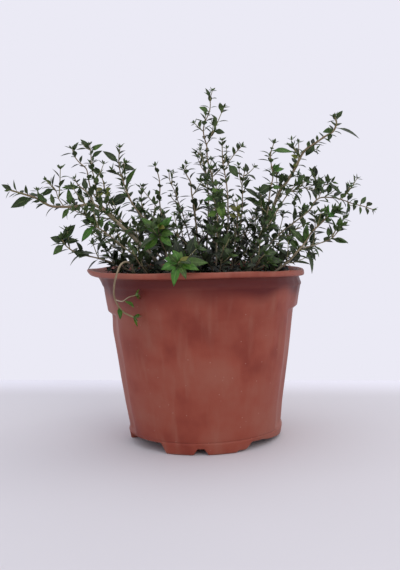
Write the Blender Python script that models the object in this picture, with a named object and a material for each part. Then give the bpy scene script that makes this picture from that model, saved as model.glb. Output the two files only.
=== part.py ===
"""Potted thyme: a thin moulded pot, its potting mix, and the leafy stems that rise from it.

Frame: origin on the floor under the pot's axis, +Z up, -Y is the front, +X is to the right.
Lengths are in millimetres up to the point where a mesh is made, which is in metres.
"""

import math
import random

import bmesh
import bpy
from mathutils import Matrix, Vector
from mathutils.bvhtree import BVHTree

MM = 0.001
GAP = 0.3

# Pot
POT_HEIGHT = 118.5
RIM_RADIUS = 73.5
NECK_RADIUS = 69.2
LIP_DEPTH = 5.0
LIP_WIDTH = 3.4
BASE_RADIUS = 52.4
WALL = 1.3
SHOULDER_HEIGHT = 88.0
SHOULDER_STEP = 3.0
SHOULDER_RADIUS = 65.9
COLLAR_RADIUS = 66.4
COLLAR_SLOPE = 0.13
FOOT_HEIGHT = 7.6
FOOT_WIDTH = 6.0
FLOOR_THICKNESS = 2.2
TURN_STEP = 5
PANEL_HALF_ANGLE = math.radians(31)
PANEL_EDGE_ANGLE = math.radians(5)
PANEL_DEPTH = 1.2
PANEL_TAPER = 1.2
FLUTE_ANGLE = math.radians(20)
FLUTE_DEPTH = 0.7
# The rim's corner that is bent outwards on the left, and the lip that sags on the right.
FLARE_AZIMUTH = math.radians(187)
FLARE_WIDTH = math.radians(13)
FLARE_OUT = 4.5
FLARE_UP = 0.8
SAG_DOWN = 4.0
SAG_IN = 2.5
SQUEEZE = 2.2
SQUEEZE_START = 74.0
SQUEEZE_FULL = 92.0
NECK_BAND = 7.0
# The height of the foot's lower edge by angle in degrees: three feet with open arches between.
FOOT_EDGE = (
    (0, 0), (58, 0), (62, 6.6), (113, 6.6), (117, 0), (183, 0), (187, 6.6), (235.8, 6.6),
    (240, 0), (292, 0), (293.5, 0.9), (300, 1.1), (304.8, 5.2), (316, 5.0), (320, 4.1),
    (330, 3.1), (340, 2.3), (360, 0),
)
NOTCHES = 3
NOTCH_RADIUS = 4.3
NOTCH_AZIMUTH = math.radians(266)
DRAINS = 4
DRAIN_RADIUS = 4.0
DRAIN_CIRCLE = 33.0
HOLE_SEGMENTS = 20
POT_CREASE = 40

# Potting mix
SOIL_RINGS = 4
SOIL_HEIGHT = 101.0
SOIL_CROWN = 2.5
SOIL_LUMP = 0.8
SOIL_SPREAD = 66.0
SOIL_WALL_GAP = 1.3
SOIL_CORNER = 1.6
SOIL_CREASE = 50
SOIL_LEVELS = (SHOULDER_HEIGHT - 12, SHOULDER_HEIGHT, SHOULDER_HEIGHT + SHOULDER_STEP)

# Leaves and stems
LEAF_THICKNESS = 0.5
LEAF_ARCH = 0.10
PETIOLE = 1.0
PAIR_RING = 1.0
TIP_LENGTH = 1.6
ROUTE_STEP = 1.5
PLAIN_RING_STEP = 14.0
CLASH_STEP = 5.0
LONG_LEAF = 7.0
LEAF_TURNS = (0, 22, -22, 40, -40)
LEAF_SCALES = (1.0, 0.78, 0.58)
LEAF_SPREAD = (38, 66)
LEAF_DROOP = 0.18
LEAF_SIZES = (0.8, 1.15)
LEAF_WIDTHS = (0.36, 0.46)
LAST_PAIR = 0.985
STEM_TURN = 37


def rise(*points):
    """The points of a stem's route as vectors."""
    return [Vector(p) for p in points]


# Each stem: its route from the potting mix to its tip, its half thickness at both ends, the number
# of leaf pairs, where the first pair stands as a share of the length, and the length of the first
# and the last pair's leaves. A shoot is the same, and starts on its stem. A broad leaf is the share
# of the length where it grows, its tip, and its width.
STEMS = {
    "stem_left_long": dict(
        route=rise((-17, -12, 105), (-22, -13, 114), (-28, -14, 122), (-35, -15, 130), (-45, -16, 141),
                   (-58, -17, 154), (-66, -18, 161), (-72, -18, 163), (-81, -19, 162), (-90, -20, 162),
                   (-98, -21, 163), (-106, -21, 168), (-114, -22, 171), (-123, -22, 174)),
        thick=(2.0, 0.6), pairs=6, first=0.42, leaf=(8, 7),
        shoots=(
            dict(route=rise((-69, -18, 162.5), (-71, -17, 168), (-75, -17, 172.5), (-79, -17, 176),
                            (-81, -17, 180)),
                 thick=(1.1, 0.5), pairs=3, first=0.4, leaf=(8, 5)),
            dict(route=rise((-89, -20, 162.3), (-92.5, -19, 168), (-94, -18, 173), (-97, -17, 177)),
                 thick=(0.6, 0.45), pairs=2, first=0.6, leaf=(7, 6)),
        ),
        broad=((0.90, (-124, -21, 163), 7.5), (0.965, (-125, -22, 184), 3.6),
               (0.995, (-129, -22, 179), 4.0), (0.66, (-85, -20, 175), 5.0),
               (0.70, (-90, -23, 152), 3.6), (0.87, (-110.5, -21, 175.5), 2.2)),
    ),
    "stem_upper_left": dict(
        route=rise((-12, -3, 105), (-24, -5, 122), (-40, -6, 139), (-54, -8, 152), (-64, -10, 161),
                   (-69, -10, 168), (-72, -11, 175), (-73, -12, 182), (-74, -12, 187), (-78, -13, 191),
                   (-81, -13, 195), (-82.5, -13, 200)),
        thick=(1.4, 0.5), pairs=5, first=0.60, leaf=(7, 6),
        shoots=(
            dict(route=rise((-64, -10, 160.5), (-67.5, -8, 170), (-69, -7, 179), (-71, -7, 188),
                            (-71, -7, 196), (-71.5, -7, 203)),
                 thick=(0.7, 0.45), pairs=4, first=0.35, leaf=(7, 5)),
        ),
        broad=((0.97, (-77, -13, 208), 4.0), (0.80, (-86, -13, 187), 2.6)),
    ),
    "stem_left_fork": dict(
        route=rise((-10, 7, 105), (-19, 7, 124), (-30, 5, 142), (-38, 3, 153), (-44, 1, 161),
                   (-48, 1, 170), (-51, 1, 179), (-53, 1, 188), (-53, 1, 195), (-52, 1, 201)),
        thick=(1.3, 0.5), pairs=5, first=0.45, leaf=(8, 6),
        shoots=(),
        broad=((0.68, (-61, -2, 162), 8.0), (0.87, (-42, 1, 187), 4.6), (0.88, (-63.5, 1, 199), 4.6),
               (0.74, (-42, 2, 180), 4.0)),
    ),
    "stem_left_middle": dict(
        route=rise((-20, -2, 105), (-34, 12, 126), (-48, 14, 143), (-57, 14, 156), (-62, 14, 165),
                   (-65, 13, 173), (-66, 13, 180), (-68, 13, 185)),
        thick=(1.0, 0.5), pairs=6, first=0.5, leaf=(7, 5), shoots=(), broad=(),
    ),
    "stem_left_near": dict(
        route=rise((-14, -27, 105), (-29, -31, 118), (-44, -33, 130), (-58, -33, 142), (-64, -32, 146.5),
                   (-70, -31, 151), (-74, -30, 156), (-80, -30, 159)),
        thick=(1.2, 0.5), pairs=6, first=0.40, leaf=(9, 7), shoots=(),
        broad=((0.80, (-76, -33, 139), 5.5),),
    ),
    "stem_left_low": dict(
        route=rise((-28, -14, 105), (-42, -14, 114), (-57, -13, 122.5), (-68, -12, 126.5), (-77, -12, 129),
                   (-85, -12, 132), (-90, -12, 136), (-92.5, -12, 140)),
        thick=(1.1, 0.6), pairs=4, first=0.50, leaf=(8, 9), shoots=(),
        broad=((0.98, (-84, -12, 150), 7.0), (0.97, (-101, -12, 142), 5.5), (0.95, (-99, -15, 130), 5.5)),
    ),
    "stem_left_rim": dict(
        route=rise((-32, 2, 105), (-47, 3, 114), (-60, 4, 124), (-65, 5, 131), (-68, 5, 139)),
        thick=(0.9, 0.5), pairs=5, first=0.35, leaf=(8, 7), shoots=(), broad=(),
    ),
    "stem_front_rosette": dict(
        route=rise((-12, -38, 105), (-18, -42, 119), (-22, -44, 131), (-25, -46, 141), (-25, -47, 148)),
        thick=(1.2, 0.7), pairs=4, first=0.45, leaf=(11, 10), shoots=(),
        broad=((0.85, (-35, -48, 155), 7.0), (0.90, (-17, -48, 154), 5.5), (0.80, (-35, -52, 133), 6.5),
               (0.78, (-15, -52, 137), 6.0)),
    ),
    "stem_front_drape": dict(
        route=rise((-8, -44, 105), (-9, -55, 118), (-10, -64, 125), (-11.5, -72, 127), (-13, -78, 124.5)),
        thick=(1.1, 0.7), pairs=3, first=0.45, leaf=(10, 10), shoots=(),
        broad=((0.93, (-25, -78, 118), 7.5), (0.97, (-17, -83, 111), 6.0), (0.90, (3, -77, 126), 6.0)),
    ),
    "stem_trailing": dict(
        route=rise((-39, -39, 105), (-42, -43, 117), (-45, -50, 125), (-49, -56, 124.5), (-51.5, -60, 119),
                   (-53.5, -60, 112), (-54, -59, 105), (-52, -58, 99), (-48.5, -58, 94.5), (-43, -58, 91.5)),
        thick=(0.8, 0.45), pairs=2, first=0.86, leaf=(4, 4),
        shoots=(
            dict(route=rise((-53.2, -58.6, 102.5), (-49, -59, 101.5), (-45, -60, 104), (-41, -60, 105)),
                 thick=(0.4, 0.4), pairs=1, first=0.6, leaf=(4, 4)),
        ),
        broad=((0.94, (-38.5, -59, 104), 3.2), (0.995, (-38, -59, 80), 3.4)),
    ),
    "stem_centre_left": dict(
        route=rise((-7, 12, 105), (-14, 12, 122), (-21, 10, 139), (-25, 8, 152), (-26.5, 7, 163),
                   (-26, 7, 173), (-26.5, 7, 181), (-28.5, 7, 188)),
        thick=(1.1, 0.5), pairs=6, first=0.50, leaf=(7, 6), shoots=(),
        broad=((0.80, (-16, 7, 169), 2.6), (0.82, (-31, 3, 168), 4.6)),
    ),
    "stem_left_thin": dict(
        route=rise((-17, 20, 105), (-27, 20, 126), (-35, 19, 145), (-39.5, 19, 159), (-40, 19, 168),
                   (-39.5, 19, 175)),
        thick=(0.8, 0.4), pairs=4, first=0.62, leaf=(7, 5), shoots=(), broad=(),
    ),
    "stem_centre_far": dict(
        route=rise((-1, 22, 105), (-4, 21, 124), (-8, 19, 142), (-11, 17, 155), (-14, 15, 164),
                   (-16, 14, 171), (-19, 14, 178), (-19.5, 14, 184)),
        thick=(0.9, 0.45), pairs=5, first=0.50, leaf=(6, 5), shoots=(), broad=(),
    ),
    "stem_centre": dict(
        route=rise((0, 3, 105), (0, 3, 122), (-1.5, 2, 143), (-2.5, 1, 158), (-4, 1, 168), (-4.5, 1, 176),
                   (-7, 1, 181), (-8.5, 1, 185)),
        thick=(1.4, 0.6), pairs=7, first=0.36, leaf=(8, 6), shoots=(),
        broad=((0.76, (-11, 0, 169), 3.2), (0.70, (8, 0, 163), 3.6)),
    ),
    "stem_front_bare": dict(
        route=rise((6, -17, 105), (0, -20, 121), (-8, -22, 134), (-14, -23, 140), (-18, -23, 146)),
        thick=(0.8, 0.45), pairs=2, first=0.85, leaf=(6, 5), shoots=(), broad=(),
    ),
    "stem_tall": dict(
        route=rise((8, 8, 105), (9, 8, 122), (11, 7, 142), (12, 6, 160), (11, 5, 175), (9.5, 4, 184),
                   (7.5, 3, 192), (7.5, 2, 200), (6, 1, 206), (5.5, 1, 211), (6.5, 0, 216), (8.7, 0, 220.5),
                   (10.4, 0, 225), (10.8, 0, 230), (9.8, 0, 234)),
        thick=(1.5, 0.45), pairs=10, first=0.34, leaf=(9, 5.5),
        shoots=(
            dict(route=rise((10.8, 5, 176), (6, 3, 182), (3, 2, 187), (1.6, 2, 191), (0, 2, 195.5)),
                 thick=(0.6, 0.4), pairs=2, first=0.6, leaf=(6, 5)),
            dict(route=rise((7.6, 2, 201.5), (10, -1, 206), (12.5, -2, 210)),
                 thick=(0.5, 0.4), pairs=2, first=0.6, leaf=(7, 5)),
        ),
        broad=((0.855, (-6.5, 0, 222), 3.2), (0.93, (19.3, 0, 232.5), 3.2), (0.86, (19, -1, 210), 4.0)),
    ),
    "stem_centre_right": dict(
        route=rise((13, 0, 105), (17, -1, 124), (20, -2, 145), (20.5, -3, 165), (19.5, -3, 178),
                   (18, -3, 188), (17.8, -3, 196), (18, -3, 203)),
        thick=(1.2, 0.5), pairs=7, first=0.40, leaf=(8, 5),
        shoots=(
            dict(route=rise((18.8, -3, 183), (23, -4, 190), (27, -4, 195), (30.5, -4, 198.5)),
                 thick=(0.6, 0.4), pairs=3, first=0.4, leaf=(6, 6)),
        ),
        broad=((0.80, (28, -5, 177), 6.5),),
    ),
    "stem_front_green": dict(
        route=rise((9, -27, 105), (10.5, -33, 122), (11.5, -35, 140), (12.5, -36, 154), (12.5, -36, 164),
                   (12, -36, 171)),
        thick=(1.1, 0.6), pairs=5, first=0.40, leaf=(10, 8), shoots=(),
        broad=((0.78, (17, -40, 148), 6.5), (0.86, (3, -37, 163), 4.4)),
    ),
    "stem_olive": dict(
        route=rise((19, -13, 105), (22, -17, 124), (25, -19, 141), (26, -20, 152), (26, -20, 161)),
        thick=(0.9, 0.5), pairs=5, first=0.45, leaf=(7, 6), shoots=(), broad=(),
    ),
    "stem_right_middle": dict(
        route=rise((20, 8, 105), (25, 8, 124), (29, 7, 145), (31, 6, 162), (31, 5, 174), (33, 5, 182)),
        thick=(1.0, 0.5), pairs=6, first=0.40, leaf=(8, 6),
        shoots=(
            dict(route=rise((31.2, 5, 172), (29.5, 2, 178), (29, 1, 186)),
                 thick=(0.5, 0.4), pairs=2, first=0.6, leaf=(5, 5)),
        ),
        broad=((0.62, (43, 5, 158), 4.5),),
    ),
    "stem_right_upright": dict(
        route=rise((27, -2, 105), (32, -1, 119), (39, -1, 132), (44, -1, 141), (47, -1, 150),
                   (48.5, -1, 160), (50, -1, 170), (52, -1, 178), (51, -1, 187), (51, -1, 194), (53, -1, 200)),
        thick=(1.3, 0.5), pairs=7, first=0.40, leaf=(9, 6), shoots=(),
        broad=((0.60, (53, -3, 146), 7.5), (0.68, (42, -2, 172), 7.0), (0.93, (66, -1, 193), 4.6),
               (0.97, (48, -1, 201.5), 2.6)),
    ),
    "stem_right_long": dict(
        route=rise((31, 15, 105), (37, 15, 122), (45, 14, 140), (52, 13, 155), (57, 13, 167), (63, 12, 175),
                   (69, 12, 184), (72, 12, 190), (76, 12, 196), (83, 12, 200.5), (90, 12, 205),
                   (96, 12, 208.5), (98.5, 12, 214), (97.5, 12, 218)),
        thick=(1.9, 0.6), pairs=8, first=0.45, leaf=(9, 5.5),
        shoots=(
            dict(route=rise((71.5, 12, 189), (71.5, 10, 195), (71.5, 10, 201)),
                 thick=(0.6, 0.45), pairs=2, first=0.55, leaf=(6, 5)),
        ),
        broad=((0.87, (112, 12, 202.5), 3.8), (0.68, (86, 8, 181), 3.2), (0.74, (84, 6, 192), 7.0),
               (0.66, (79, 10, 180), 3.6)),
    ),
    "stem_right_spray": dict(
        route=rise((24, -10, 105), (34, -12, 125), (45, -13, 142), (54, -13, 156), (61, -13, 166),
                   (66, -13, 171), (72, -13, 174), (76.5, -13, 177)),
        thick=(1.0, 0.45), pairs=6, first=0.42, leaf=(8, 6),
        shoots=(
            dict(route=rise((62, -13, 167), (68, -14, 168.5), (74, -14, 169.5), (80, -14, 171.5)),
                 thick=(0.5, 0.4), pairs=3, first=0.4, leaf=(7, 7)),
        ),
        broad=(),
    ),
    "stem_right_near": dict(
        route=rise((34, -25, 105), (47, -29, 113), (58, -32, 121.5), (64, -32, 128), (69, -31, 133),
                   (73, -30, 139), (79, -29, 144.5), (84, -28, 149), (88, -27, 153)),
        thick=(1.5, 0.7), pairs=6, first=0.40, leaf=(8, 9),
        shoots=(
            dict(route=rise((66, -31.5, 130), (72, -31, 130.5), (79, -31, 132.5), (86, -31, 135),
                            (90, -31, 139), (93.5, -31, 143)),
                 thick=(0.7, 0.5), pairs=4, first=0.4, leaf=(8, 8)),
        ),
        broad=((0.46, (72, -40, 111), 4.0),),
    ),
    "stem_right_reach": dict(
        route=rise((30, 27, 105), (40, 26, 118), (51, 25, 131), (59, 24, 139), (67, 23, 145), (74, 22, 150),
                   (80, 21, 155), (83, 20, 160), (88, 20, 163), (97, 20, 162.5), (104, 20, 160.5),
                   (110, 20, 158), (117, 20, 156), (124, 20, 153.5)),
        thick=(1.3, 0.5), pairs=8, first=0.40, leaf=(9, 6),
        shoots=(
            dict(route=rise((86, 20, 162), (88, 19, 168), (91, 18, 174)),
                 thick=(0.6, 0.45), pairs=2, first=0.5, leaf=(8, 7)),
            dict(route=rise((102, 20, 161), (106, 19, 165.5), (109, 19, 171)),
                 thick=(0.5, 0.4), pairs=2, first=0.55, leaf=(6, 5)),
        ),
        broad=((0.93, (118, 19, 167), 3.6), (0.94, (114, 20, 143.5), 3.2), (0.995, (126.5, 20, 148.5), 2.6),
               (0.98, (126, 20, 160), 2.8)),
    ),
    "stem_right_rim": dict(
        route=rise((36, -8, 105), (48, -9, 114), (60, -10, 124), (68, -11, 127.5), (74, -12, 129)),
        thick=(0.9, 0.55), pairs=4, first=0.35, leaf=(8, 8), shoots=(),
        broad=((0.97, (79, -14, 112), 4.0),),
    ),
    "stem_front_low": dict(
        route=rise((28, -36, 105), (33, -46, 115), (37, -56, 124), (40, -63, 128)),
        thick=(0.9, 0.55), pairs=4, first=0.35, leaf=(8, 8), shoots=(),
        broad=((0.80, (50, -64, 123), 5.5),),
    ),
    "stem_front_left_low": dict(
        route=rise((-24, -34, 105), (-33, -44, 116), (-39, -51, 126), (-42, -55, 133)),
        thick=(0.9, 0.5), pairs=4, first=0.35, leaf=(8, 6), shoots=(), broad=(),
    ),
    "stem_front_middle_low": dict(
        route=rise((10, -44, 105), (12, -52, 117), (14, -58, 127), (15, -61, 134)),
        thick=(0.9, 0.5), pairs=4, first=0.35, leaf=(8, 6), shoots=(), broad=(),
    ),
    "stem_back_tall": dict(
        route=rise((4, 33, 105), (5, 38, 125), (7, 42, 147), (8, 44, 168), (7, 45, 184), (5, 46, 197)),
        thick=(1.3, 0.5), pairs=8, first=0.35, leaf=(9, 6), shoots=(), broad=(),
    ),
    "stem_back_left": dict(
        route=rise((-14, 34, 105), (-23, 42, 123), (-34, 49, 141), (-44, 54, 156), (-52, 58, 168),
                   (-57, 61, 178)),
        thick=(1.2, 0.5), pairs=7, first=0.38, leaf=(9, 6), shoots=(), broad=(),
    ),
    "stem_back_left_low": dict(
        route=rise((-29, 22, 105), (-43, 31, 117), (-57, 38, 128), (-69, 43, 137), (-80, 46, 145)),
        thick=(1.1, 0.5), pairs=6, first=0.40, leaf=(9, 7), shoots=(), broad=(),
    ),
    "stem_back_middle": dict(
        route=rise((-6, 46, 105), (-9, 55, 120), (-12, 64, 135), (-14, 71, 148), (-15, 76, 160)),
        thick=(1.1, 0.5), pairs=6, first=0.38, leaf=(9, 6), shoots=(), broad=(),
    ),
    "stem_back_right": dict(
        route=rise((19, 37, 105), (26, 46, 122), (35, 53, 139), (43, 58, 154), (49, 62, 167)),
        thick=(1.2, 0.5), pairs=7, first=0.38, leaf=(9, 6), shoots=(), broad=(),
    ),
    "stem_back_right_low": dict(
        route=rise((33, 36, 105), (46, 43, 118), (58, 50, 129.5), (70, 55, 138), (81, 58, 144)),
        thick=(1.1, 0.5), pairs=6, first=0.40, leaf=(9, 7), shoots=(), broad=(),
    ),
    "stem_back_rim": dict(
        route=rise((12, 50, 105), (16, 60, 117), (20, 69, 126), (23, 75, 131), (25, 80, 133)),
        thick=(0.9, 0.55), pairs=4, first=0.38, leaf=(8, 8), shoots=(), broad=(),
    ),
    "stem_back_rim_left": dict(
        route=rise((-24, 44, 105), (-31, 53, 117), (-37, 61, 127), (-41, 67, 133)),
        thick=(0.9, 0.55), pairs=4, first=0.35, leaf=(8, 8), shoots=(), broad=(),
    ),
}

# Colours are scene-linear, then roughness.
FINISHES = {
    "terracotta plastic": ((0.238, 0.079, 0.062), 0.5),
    "potting mix": ((0.035, 0.024, 0.017), 0.95),
    "thyme green": ((0.050, 0.100, 0.040), 0.6),
}


def material(name):
    """The named finish as a material with one Principled BSDF."""
    if name in bpy.data.materials:
        return bpy.data.materials[name]
    colour, roughness = FINISHES[name]
    made = bpy.data.materials.new(name)
    made.use_nodes = True
    shader = made.node_tree.nodes["Principled BSDF"]
    shader.inputs["Base Color"].default_value = (*colour, 1.0)
    shader.inputs["Roughness"].default_value = roughness
    shader.inputs["Metallic"].default_value = 0.0
    return made


def add_object(name, bm, finish, smooth_angle=None):
    """An object in metres from a bmesh in millimetres, with its finish."""
    bmesh.ops.scale(bm, vec=(MM, MM, MM), verts=bm.verts)
    mesh = bpy.data.meshes.new(name)
    bm.to_mesh(mesh)
    bm.free()
    if finish:
        mesh.materials.append(material(finish))
    if smooth_angle is not None:
        mesh.shade_smooth()
        mesh.set_sharp_from_angle(angle=math.radians(smooth_angle))
    made = bpy.data.objects.new(name, mesh)
    bpy.context.scene.collection.objects.link(made)
    return made


def add_cutter(name, bm, target):
    """A cutter that a Boolean takes out of the target."""
    cutter = add_object(name, bm, None)
    cutter.hide_render = True
    cutter.display_type = "WIRE"
    cut = target.modifiers.new(name, "BOOLEAN")
    cut.operation = "DIFFERENCE"
    cut.solver = "EXACT"
    cut.object = cutter


def blend(value, low, high):
    """0 below low, 1 above high, and a smooth step between them."""
    t = min(max((value - low) / (high - low), 0.0), 1.0)
    return t * t * (3 - 2 * t)


# ---------------------------------------------------------------- pot


def from_sides(angle):
    """The angle to the nearer of the pot's right and left sides."""
    right = abs(math.remainder(angle, 2 * math.pi))
    left = abs(math.remainder(angle - math.pi, 2 * math.pi))
    return min(right, left)


def panel_recess(angle, z):
    """How far the fluted side panels lie inside the pot's cone, at an angle and a height."""
    aside = from_sides(angle)
    inside = 1 - blend(aside, PANEL_HALF_ANGLE - PANEL_EDGE_ANGLE, PANEL_HALF_ANGLE)
    flute = 0.5 + 0.5 * math.cos(2 * math.pi * aside / FLUTE_ANGLE)
    below_shoulder = 1 - blend(z, SHOULDER_HEIGHT, SHOULDER_HEIGHT + SHOULDER_STEP)
    above_foot = blend(z, FOOT_HEIGHT, FOOT_HEIGHT + SHOULDER_STEP)
    depth = PANEL_DEPTH + PANEL_TAPER * z / SHOULDER_HEIGHT
    return inside * below_shoulder * above_foot * (depth + FLUTE_DEPTH * flute)


def squeeze(angle, z):
    """How far the collar is pressed in on the left."""
    left = max(-math.cos(angle), 0.0) ** 2
    neck = POT_HEIGHT - LIP_DEPTH
    above = blend(z, SQUEEZE_START, SQUEEZE_FULL)
    below = 1 - blend(z, neck - NECK_BAND, neck)
    return SQUEEZE * left * above * below


def foot_edge(angle):
    """The height of the foot's lower edge at an angle."""
    turn = math.degrees(angle) % 360
    for (first, low), (last, high) in zip(FOOT_EDGE, FOOT_EDGE[1:]):
        if first <= turn <= last:
            return low + (high - low) * (turn - first) / (last - first)
    return 0.0


def cone_radius(z):
    """The outer radius of the pot's plain wall at a height."""
    if z <= SHOULDER_HEIGHT:
        return BASE_RADIUS + (SHOULDER_RADIUS - BASE_RADIUS) * z / SHOULDER_HEIGHT
    return COLLAR_RADIUS + (z - SHOULDER_HEIGHT - SHOULDER_STEP) * COLLAR_SLOPE


def pot_profile():
    """The pot's section from the foot up the outside, over the rim and down the inside."""
    neck = POT_HEIGHT - LIP_DEPTH
    inner_floor = FOOT_HEIGHT + FLOOR_THICKNESS
    foot_inside = BASE_RADIUS - FOOT_WIDTH
    outside = [
        (BASE_RADIUS - 0.8, 0.0),
        (BASE_RADIUS, 1.2),
        (BASE_RADIUS + 0.9, FOOT_HEIGHT - 0.6),
        (BASE_RADIUS + 0.6, FOOT_HEIGHT),
        (cone_radius(FOOT_HEIGHT + SHOULDER_STEP), FOOT_HEIGHT + SHOULDER_STEP),
        (cone_radius(SHOULDER_HEIGHT - 12), SHOULDER_HEIGHT - 12),
        (cone_radius(SHOULDER_HEIGHT), SHOULDER_HEIGHT),
        (COLLAR_RADIUS, SHOULDER_HEIGHT + SHOULDER_STEP),
        (cone_radius(neck - NECK_BAND), neck - NECK_BAND),
        (NECK_RADIUS, neck - 4),
        (NECK_RADIUS, neck),
        (NECK_RADIUS + 2.4, neck + 1.1),
        (RIM_RADIUS - 0.3, neck + 1.8),
        (RIM_RADIUS, POT_HEIGHT - 1.4),
        (RIM_RADIUS - 1.0, POT_HEIGHT),
    ]
    inside = [
        (RIM_RADIUS - LIP_WIDTH, POT_HEIGHT - 0.9),
        (NECK_RADIUS - WALL, neck + 0.6),
        (cone_radius(neck - NECK_BAND) - WALL, neck - NECK_BAND),
        (COLLAR_RADIUS - WALL, SHOULDER_HEIGHT + SHOULDER_STEP),
        (cone_radius(SHOULDER_HEIGHT) - WALL, SHOULDER_HEIGHT),
        (cone_radius(SHOULDER_HEIGHT - 12) - WALL, SHOULDER_HEIGHT - 12),
        (cone_radius(inner_floor + 2) - WALL, inner_floor + 2),
        (cone_radius(inner_floor) - WALL - 1.4, inner_floor),
    ]
    underside = [(foot_inside - 0.6, FOOT_HEIGHT), (foot_inside, 0.0)]
    return outside, inside, underside


def pot_point(radius, z, angle):
    """A point of the pot's surface, with its panels, feet, squeezed collar, bent and sagging rim."""
    neck = POT_HEIGHT - LIP_DEPTH
    near = math.exp(-((math.remainder(angle - FLARE_AZIMUTH, 2 * math.pi) / FLARE_WIDTH) ** 2))
    high = blend(z, neck - 2, POT_HEIGHT)
    right = max(math.cos(angle), 0.0) ** 2
    radius += FLARE_OUT * near * high - panel_recess(angle, z) - squeeze(angle, z)
    radius -= SAG_IN * right * blend(z, neck - NECK_BAND, POT_HEIGHT)
    height = z + FLARE_UP * near * high - SAG_DOWN * right * blend(z, SQUEEZE_FULL, neck)
    if z < FOOT_HEIGHT:
        low = foot_edge(angle)
        height = low + z * (FOOT_HEIGHT - low) / FOOT_HEIGHT
    return Vector((radius * math.cos(angle), radius * math.sin(angle), height))


def pot_turns():
    """The angles of the pot's uprights: evenly spaced, and one at each end of a foot."""
    ends = {turn % 360 for turn, _ in FOOT_EDGE}
    even = [turn for turn in range(0, 360, TURN_STEP) if all(abs(turn - end) > 1.5 for end in ends)]
    return [math.radians(turn) for turn in sorted({*ends, *even})]


def soil_turns():
    """The angles of the potting mix's uprights."""
    return [math.radians(turn) for turn in range(0, 360, TURN_STEP)]


def ring_of_points(bm, radius, z, turns, shape):
    """One ring of vertices around the axis, one for each angle."""
    return [bm.verts.new(shape(radius, z, turn)) for turn in turns]


def join_rings(bm, lower, upper):
    """Quads between two rings, facing away from the axis when upper is above lower."""
    count = len(lower)
    for i in range(count):
        j = (i + 1) % count
        bm.faces.new((lower[i], lower[j], upper[j], upper[i]))


def build_pot():
    """The moulded pot: feet, fluted side panels, collar and rolled rim, one shell."""
    bm = bmesh.new()
    turns = pot_turns()
    outside, inside, underside = pot_profile()
    rings = [ring_of_points(bm, r, z, turns, pot_point) for r, z in outside + inside]
    for lower, upper in zip(rings, rings[1:]):
        join_rings(bm, lower, upper)
    bm.faces.new(rings[-1])
    under = [ring_of_points(bm, r, z, turns, pot_point) for r, z in underside]
    join_rings(bm, under[0], under[1])
    join_rings(bm, under[1], rings[0])
    bm.faces.new(list(reversed(under[0])))
    bmesh.ops.recalc_face_normals(bm, faces=bm.faces)
    pot = add_object("pot", bm, "terracotta plastic", POT_CREASE)
    add_cutter("foot_notches", foot_notches(), pot)
    add_cutter("drain_holes", drain_holes(), pot)
    return pot


def foot_notches():
    """The round notch across each foot, which lets water out."""
    bm = bmesh.new()
    middle = Matrix.Translation((BASE_RADIUS - FOOT_WIDTH / 2, 0, 0))
    for number in range(NOTCHES):
        turn = Matrix.Rotation(NOTCH_AZIMUTH + 2 * math.pi * number / NOTCHES, 4, "Z")
        lie = turn @ middle @ Matrix.Rotation(math.pi / 2, 4, "Y")
        bmesh.ops.create_cone(bm, cap_ends=True, segments=HOLE_SEGMENTS, radius1=NOTCH_RADIUS,
                              radius2=NOTCH_RADIUS, depth=FOOT_WIDTH * 2, matrix=lie)
    return bm


def drain_holes():
    """The round holes through the pot's floor."""
    bm = bmesh.new()
    stand = Matrix.Translation((DRAIN_CIRCLE, 0, FOOT_HEIGHT + FLOOR_THICKNESS / 2))
    for number in range(DRAINS):
        turn = Matrix.Rotation(2 * math.pi * (number + 0.5) / DRAINS, 4, "Z")
        bmesh.ops.create_cone(bm, cap_ends=True, segments=HOLE_SEGMENTS, radius1=DRAIN_RADIUS,
                              radius2=DRAIN_RADIUS, depth=FLOOR_THICKNESS * 3, matrix=turn @ stand)
    return bm


# ---------------------------------------------------------------- potting mix


def soil_height(x, y):
    """The height of the potting mix's lumpy top."""
    across = math.hypot(x, y) / SOIL_SPREAD
    lumps = math.sin(x * 0.21 + 1.0) * math.cos(y * 0.17) + 0.6 * math.sin(x * 0.09 - y * 0.26)
    return SOIL_HEIGHT + SOIL_CROWN * (1 - across ** 2) + SOIL_LUMP * lumps


def soil_radius(z, angle):
    """The radius of the potting mix's side, clear of the pot's wall."""
    return cone_radius(z) - panel_recess(angle, z) - squeeze(angle, z) - WALL - SOIL_WALL_GAP


def soil_point(shrink, z, angle):
    """A point of the potting mix's side, drawn in by shrink."""
    radius = soil_radius(z, angle) - shrink
    return Vector((radius * math.cos(angle), radius * math.sin(angle), z))


def build_soil():
    """The potting mix that fills the pot up to a lumpy, slightly domed top."""
    bm = bmesh.new()
    floor = FOOT_HEIGHT + FLOOR_THICKNESS + GAP
    turns = soil_turns()
    rings = [ring_of_points(bm, SOIL_CORNER, floor, turns, soil_point)]
    for level in SOIL_LEVELS:
        rings.append(ring_of_points(bm, 0.0, level, turns, soil_point))
    for step in range(SOIL_RINGS):
        share = 1 - step / SOIL_RINGS
        ring = []
        for angle in turns:
            radius = soil_radius(SOIL_HEIGHT, angle) * share
            x = radius * math.cos(angle)
            y = radius * math.sin(angle)
            ring.append(bm.verts.new((x, y, soil_height(x, y))))
        rings.append(ring)
    for lower, upper in zip(rings, rings[1:]):
        join_rings(bm, lower, upper)
    bm.faces.new(list(reversed(rings[0])))
    middle = bm.verts.new((0, 0, soil_height(0, 0)))
    last = rings[-1]
    for i, corner in enumerate(last):
        bm.faces.new((corner, last[(i + 1) % len(last)], middle))
    bmesh.ops.recalc_face_normals(bm, faces=bm.faces)
    return add_object("potting_mix", bm, "potting mix", SOIL_CREASE)


# ---------------------------------------------------------------- stems and leaves


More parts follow.
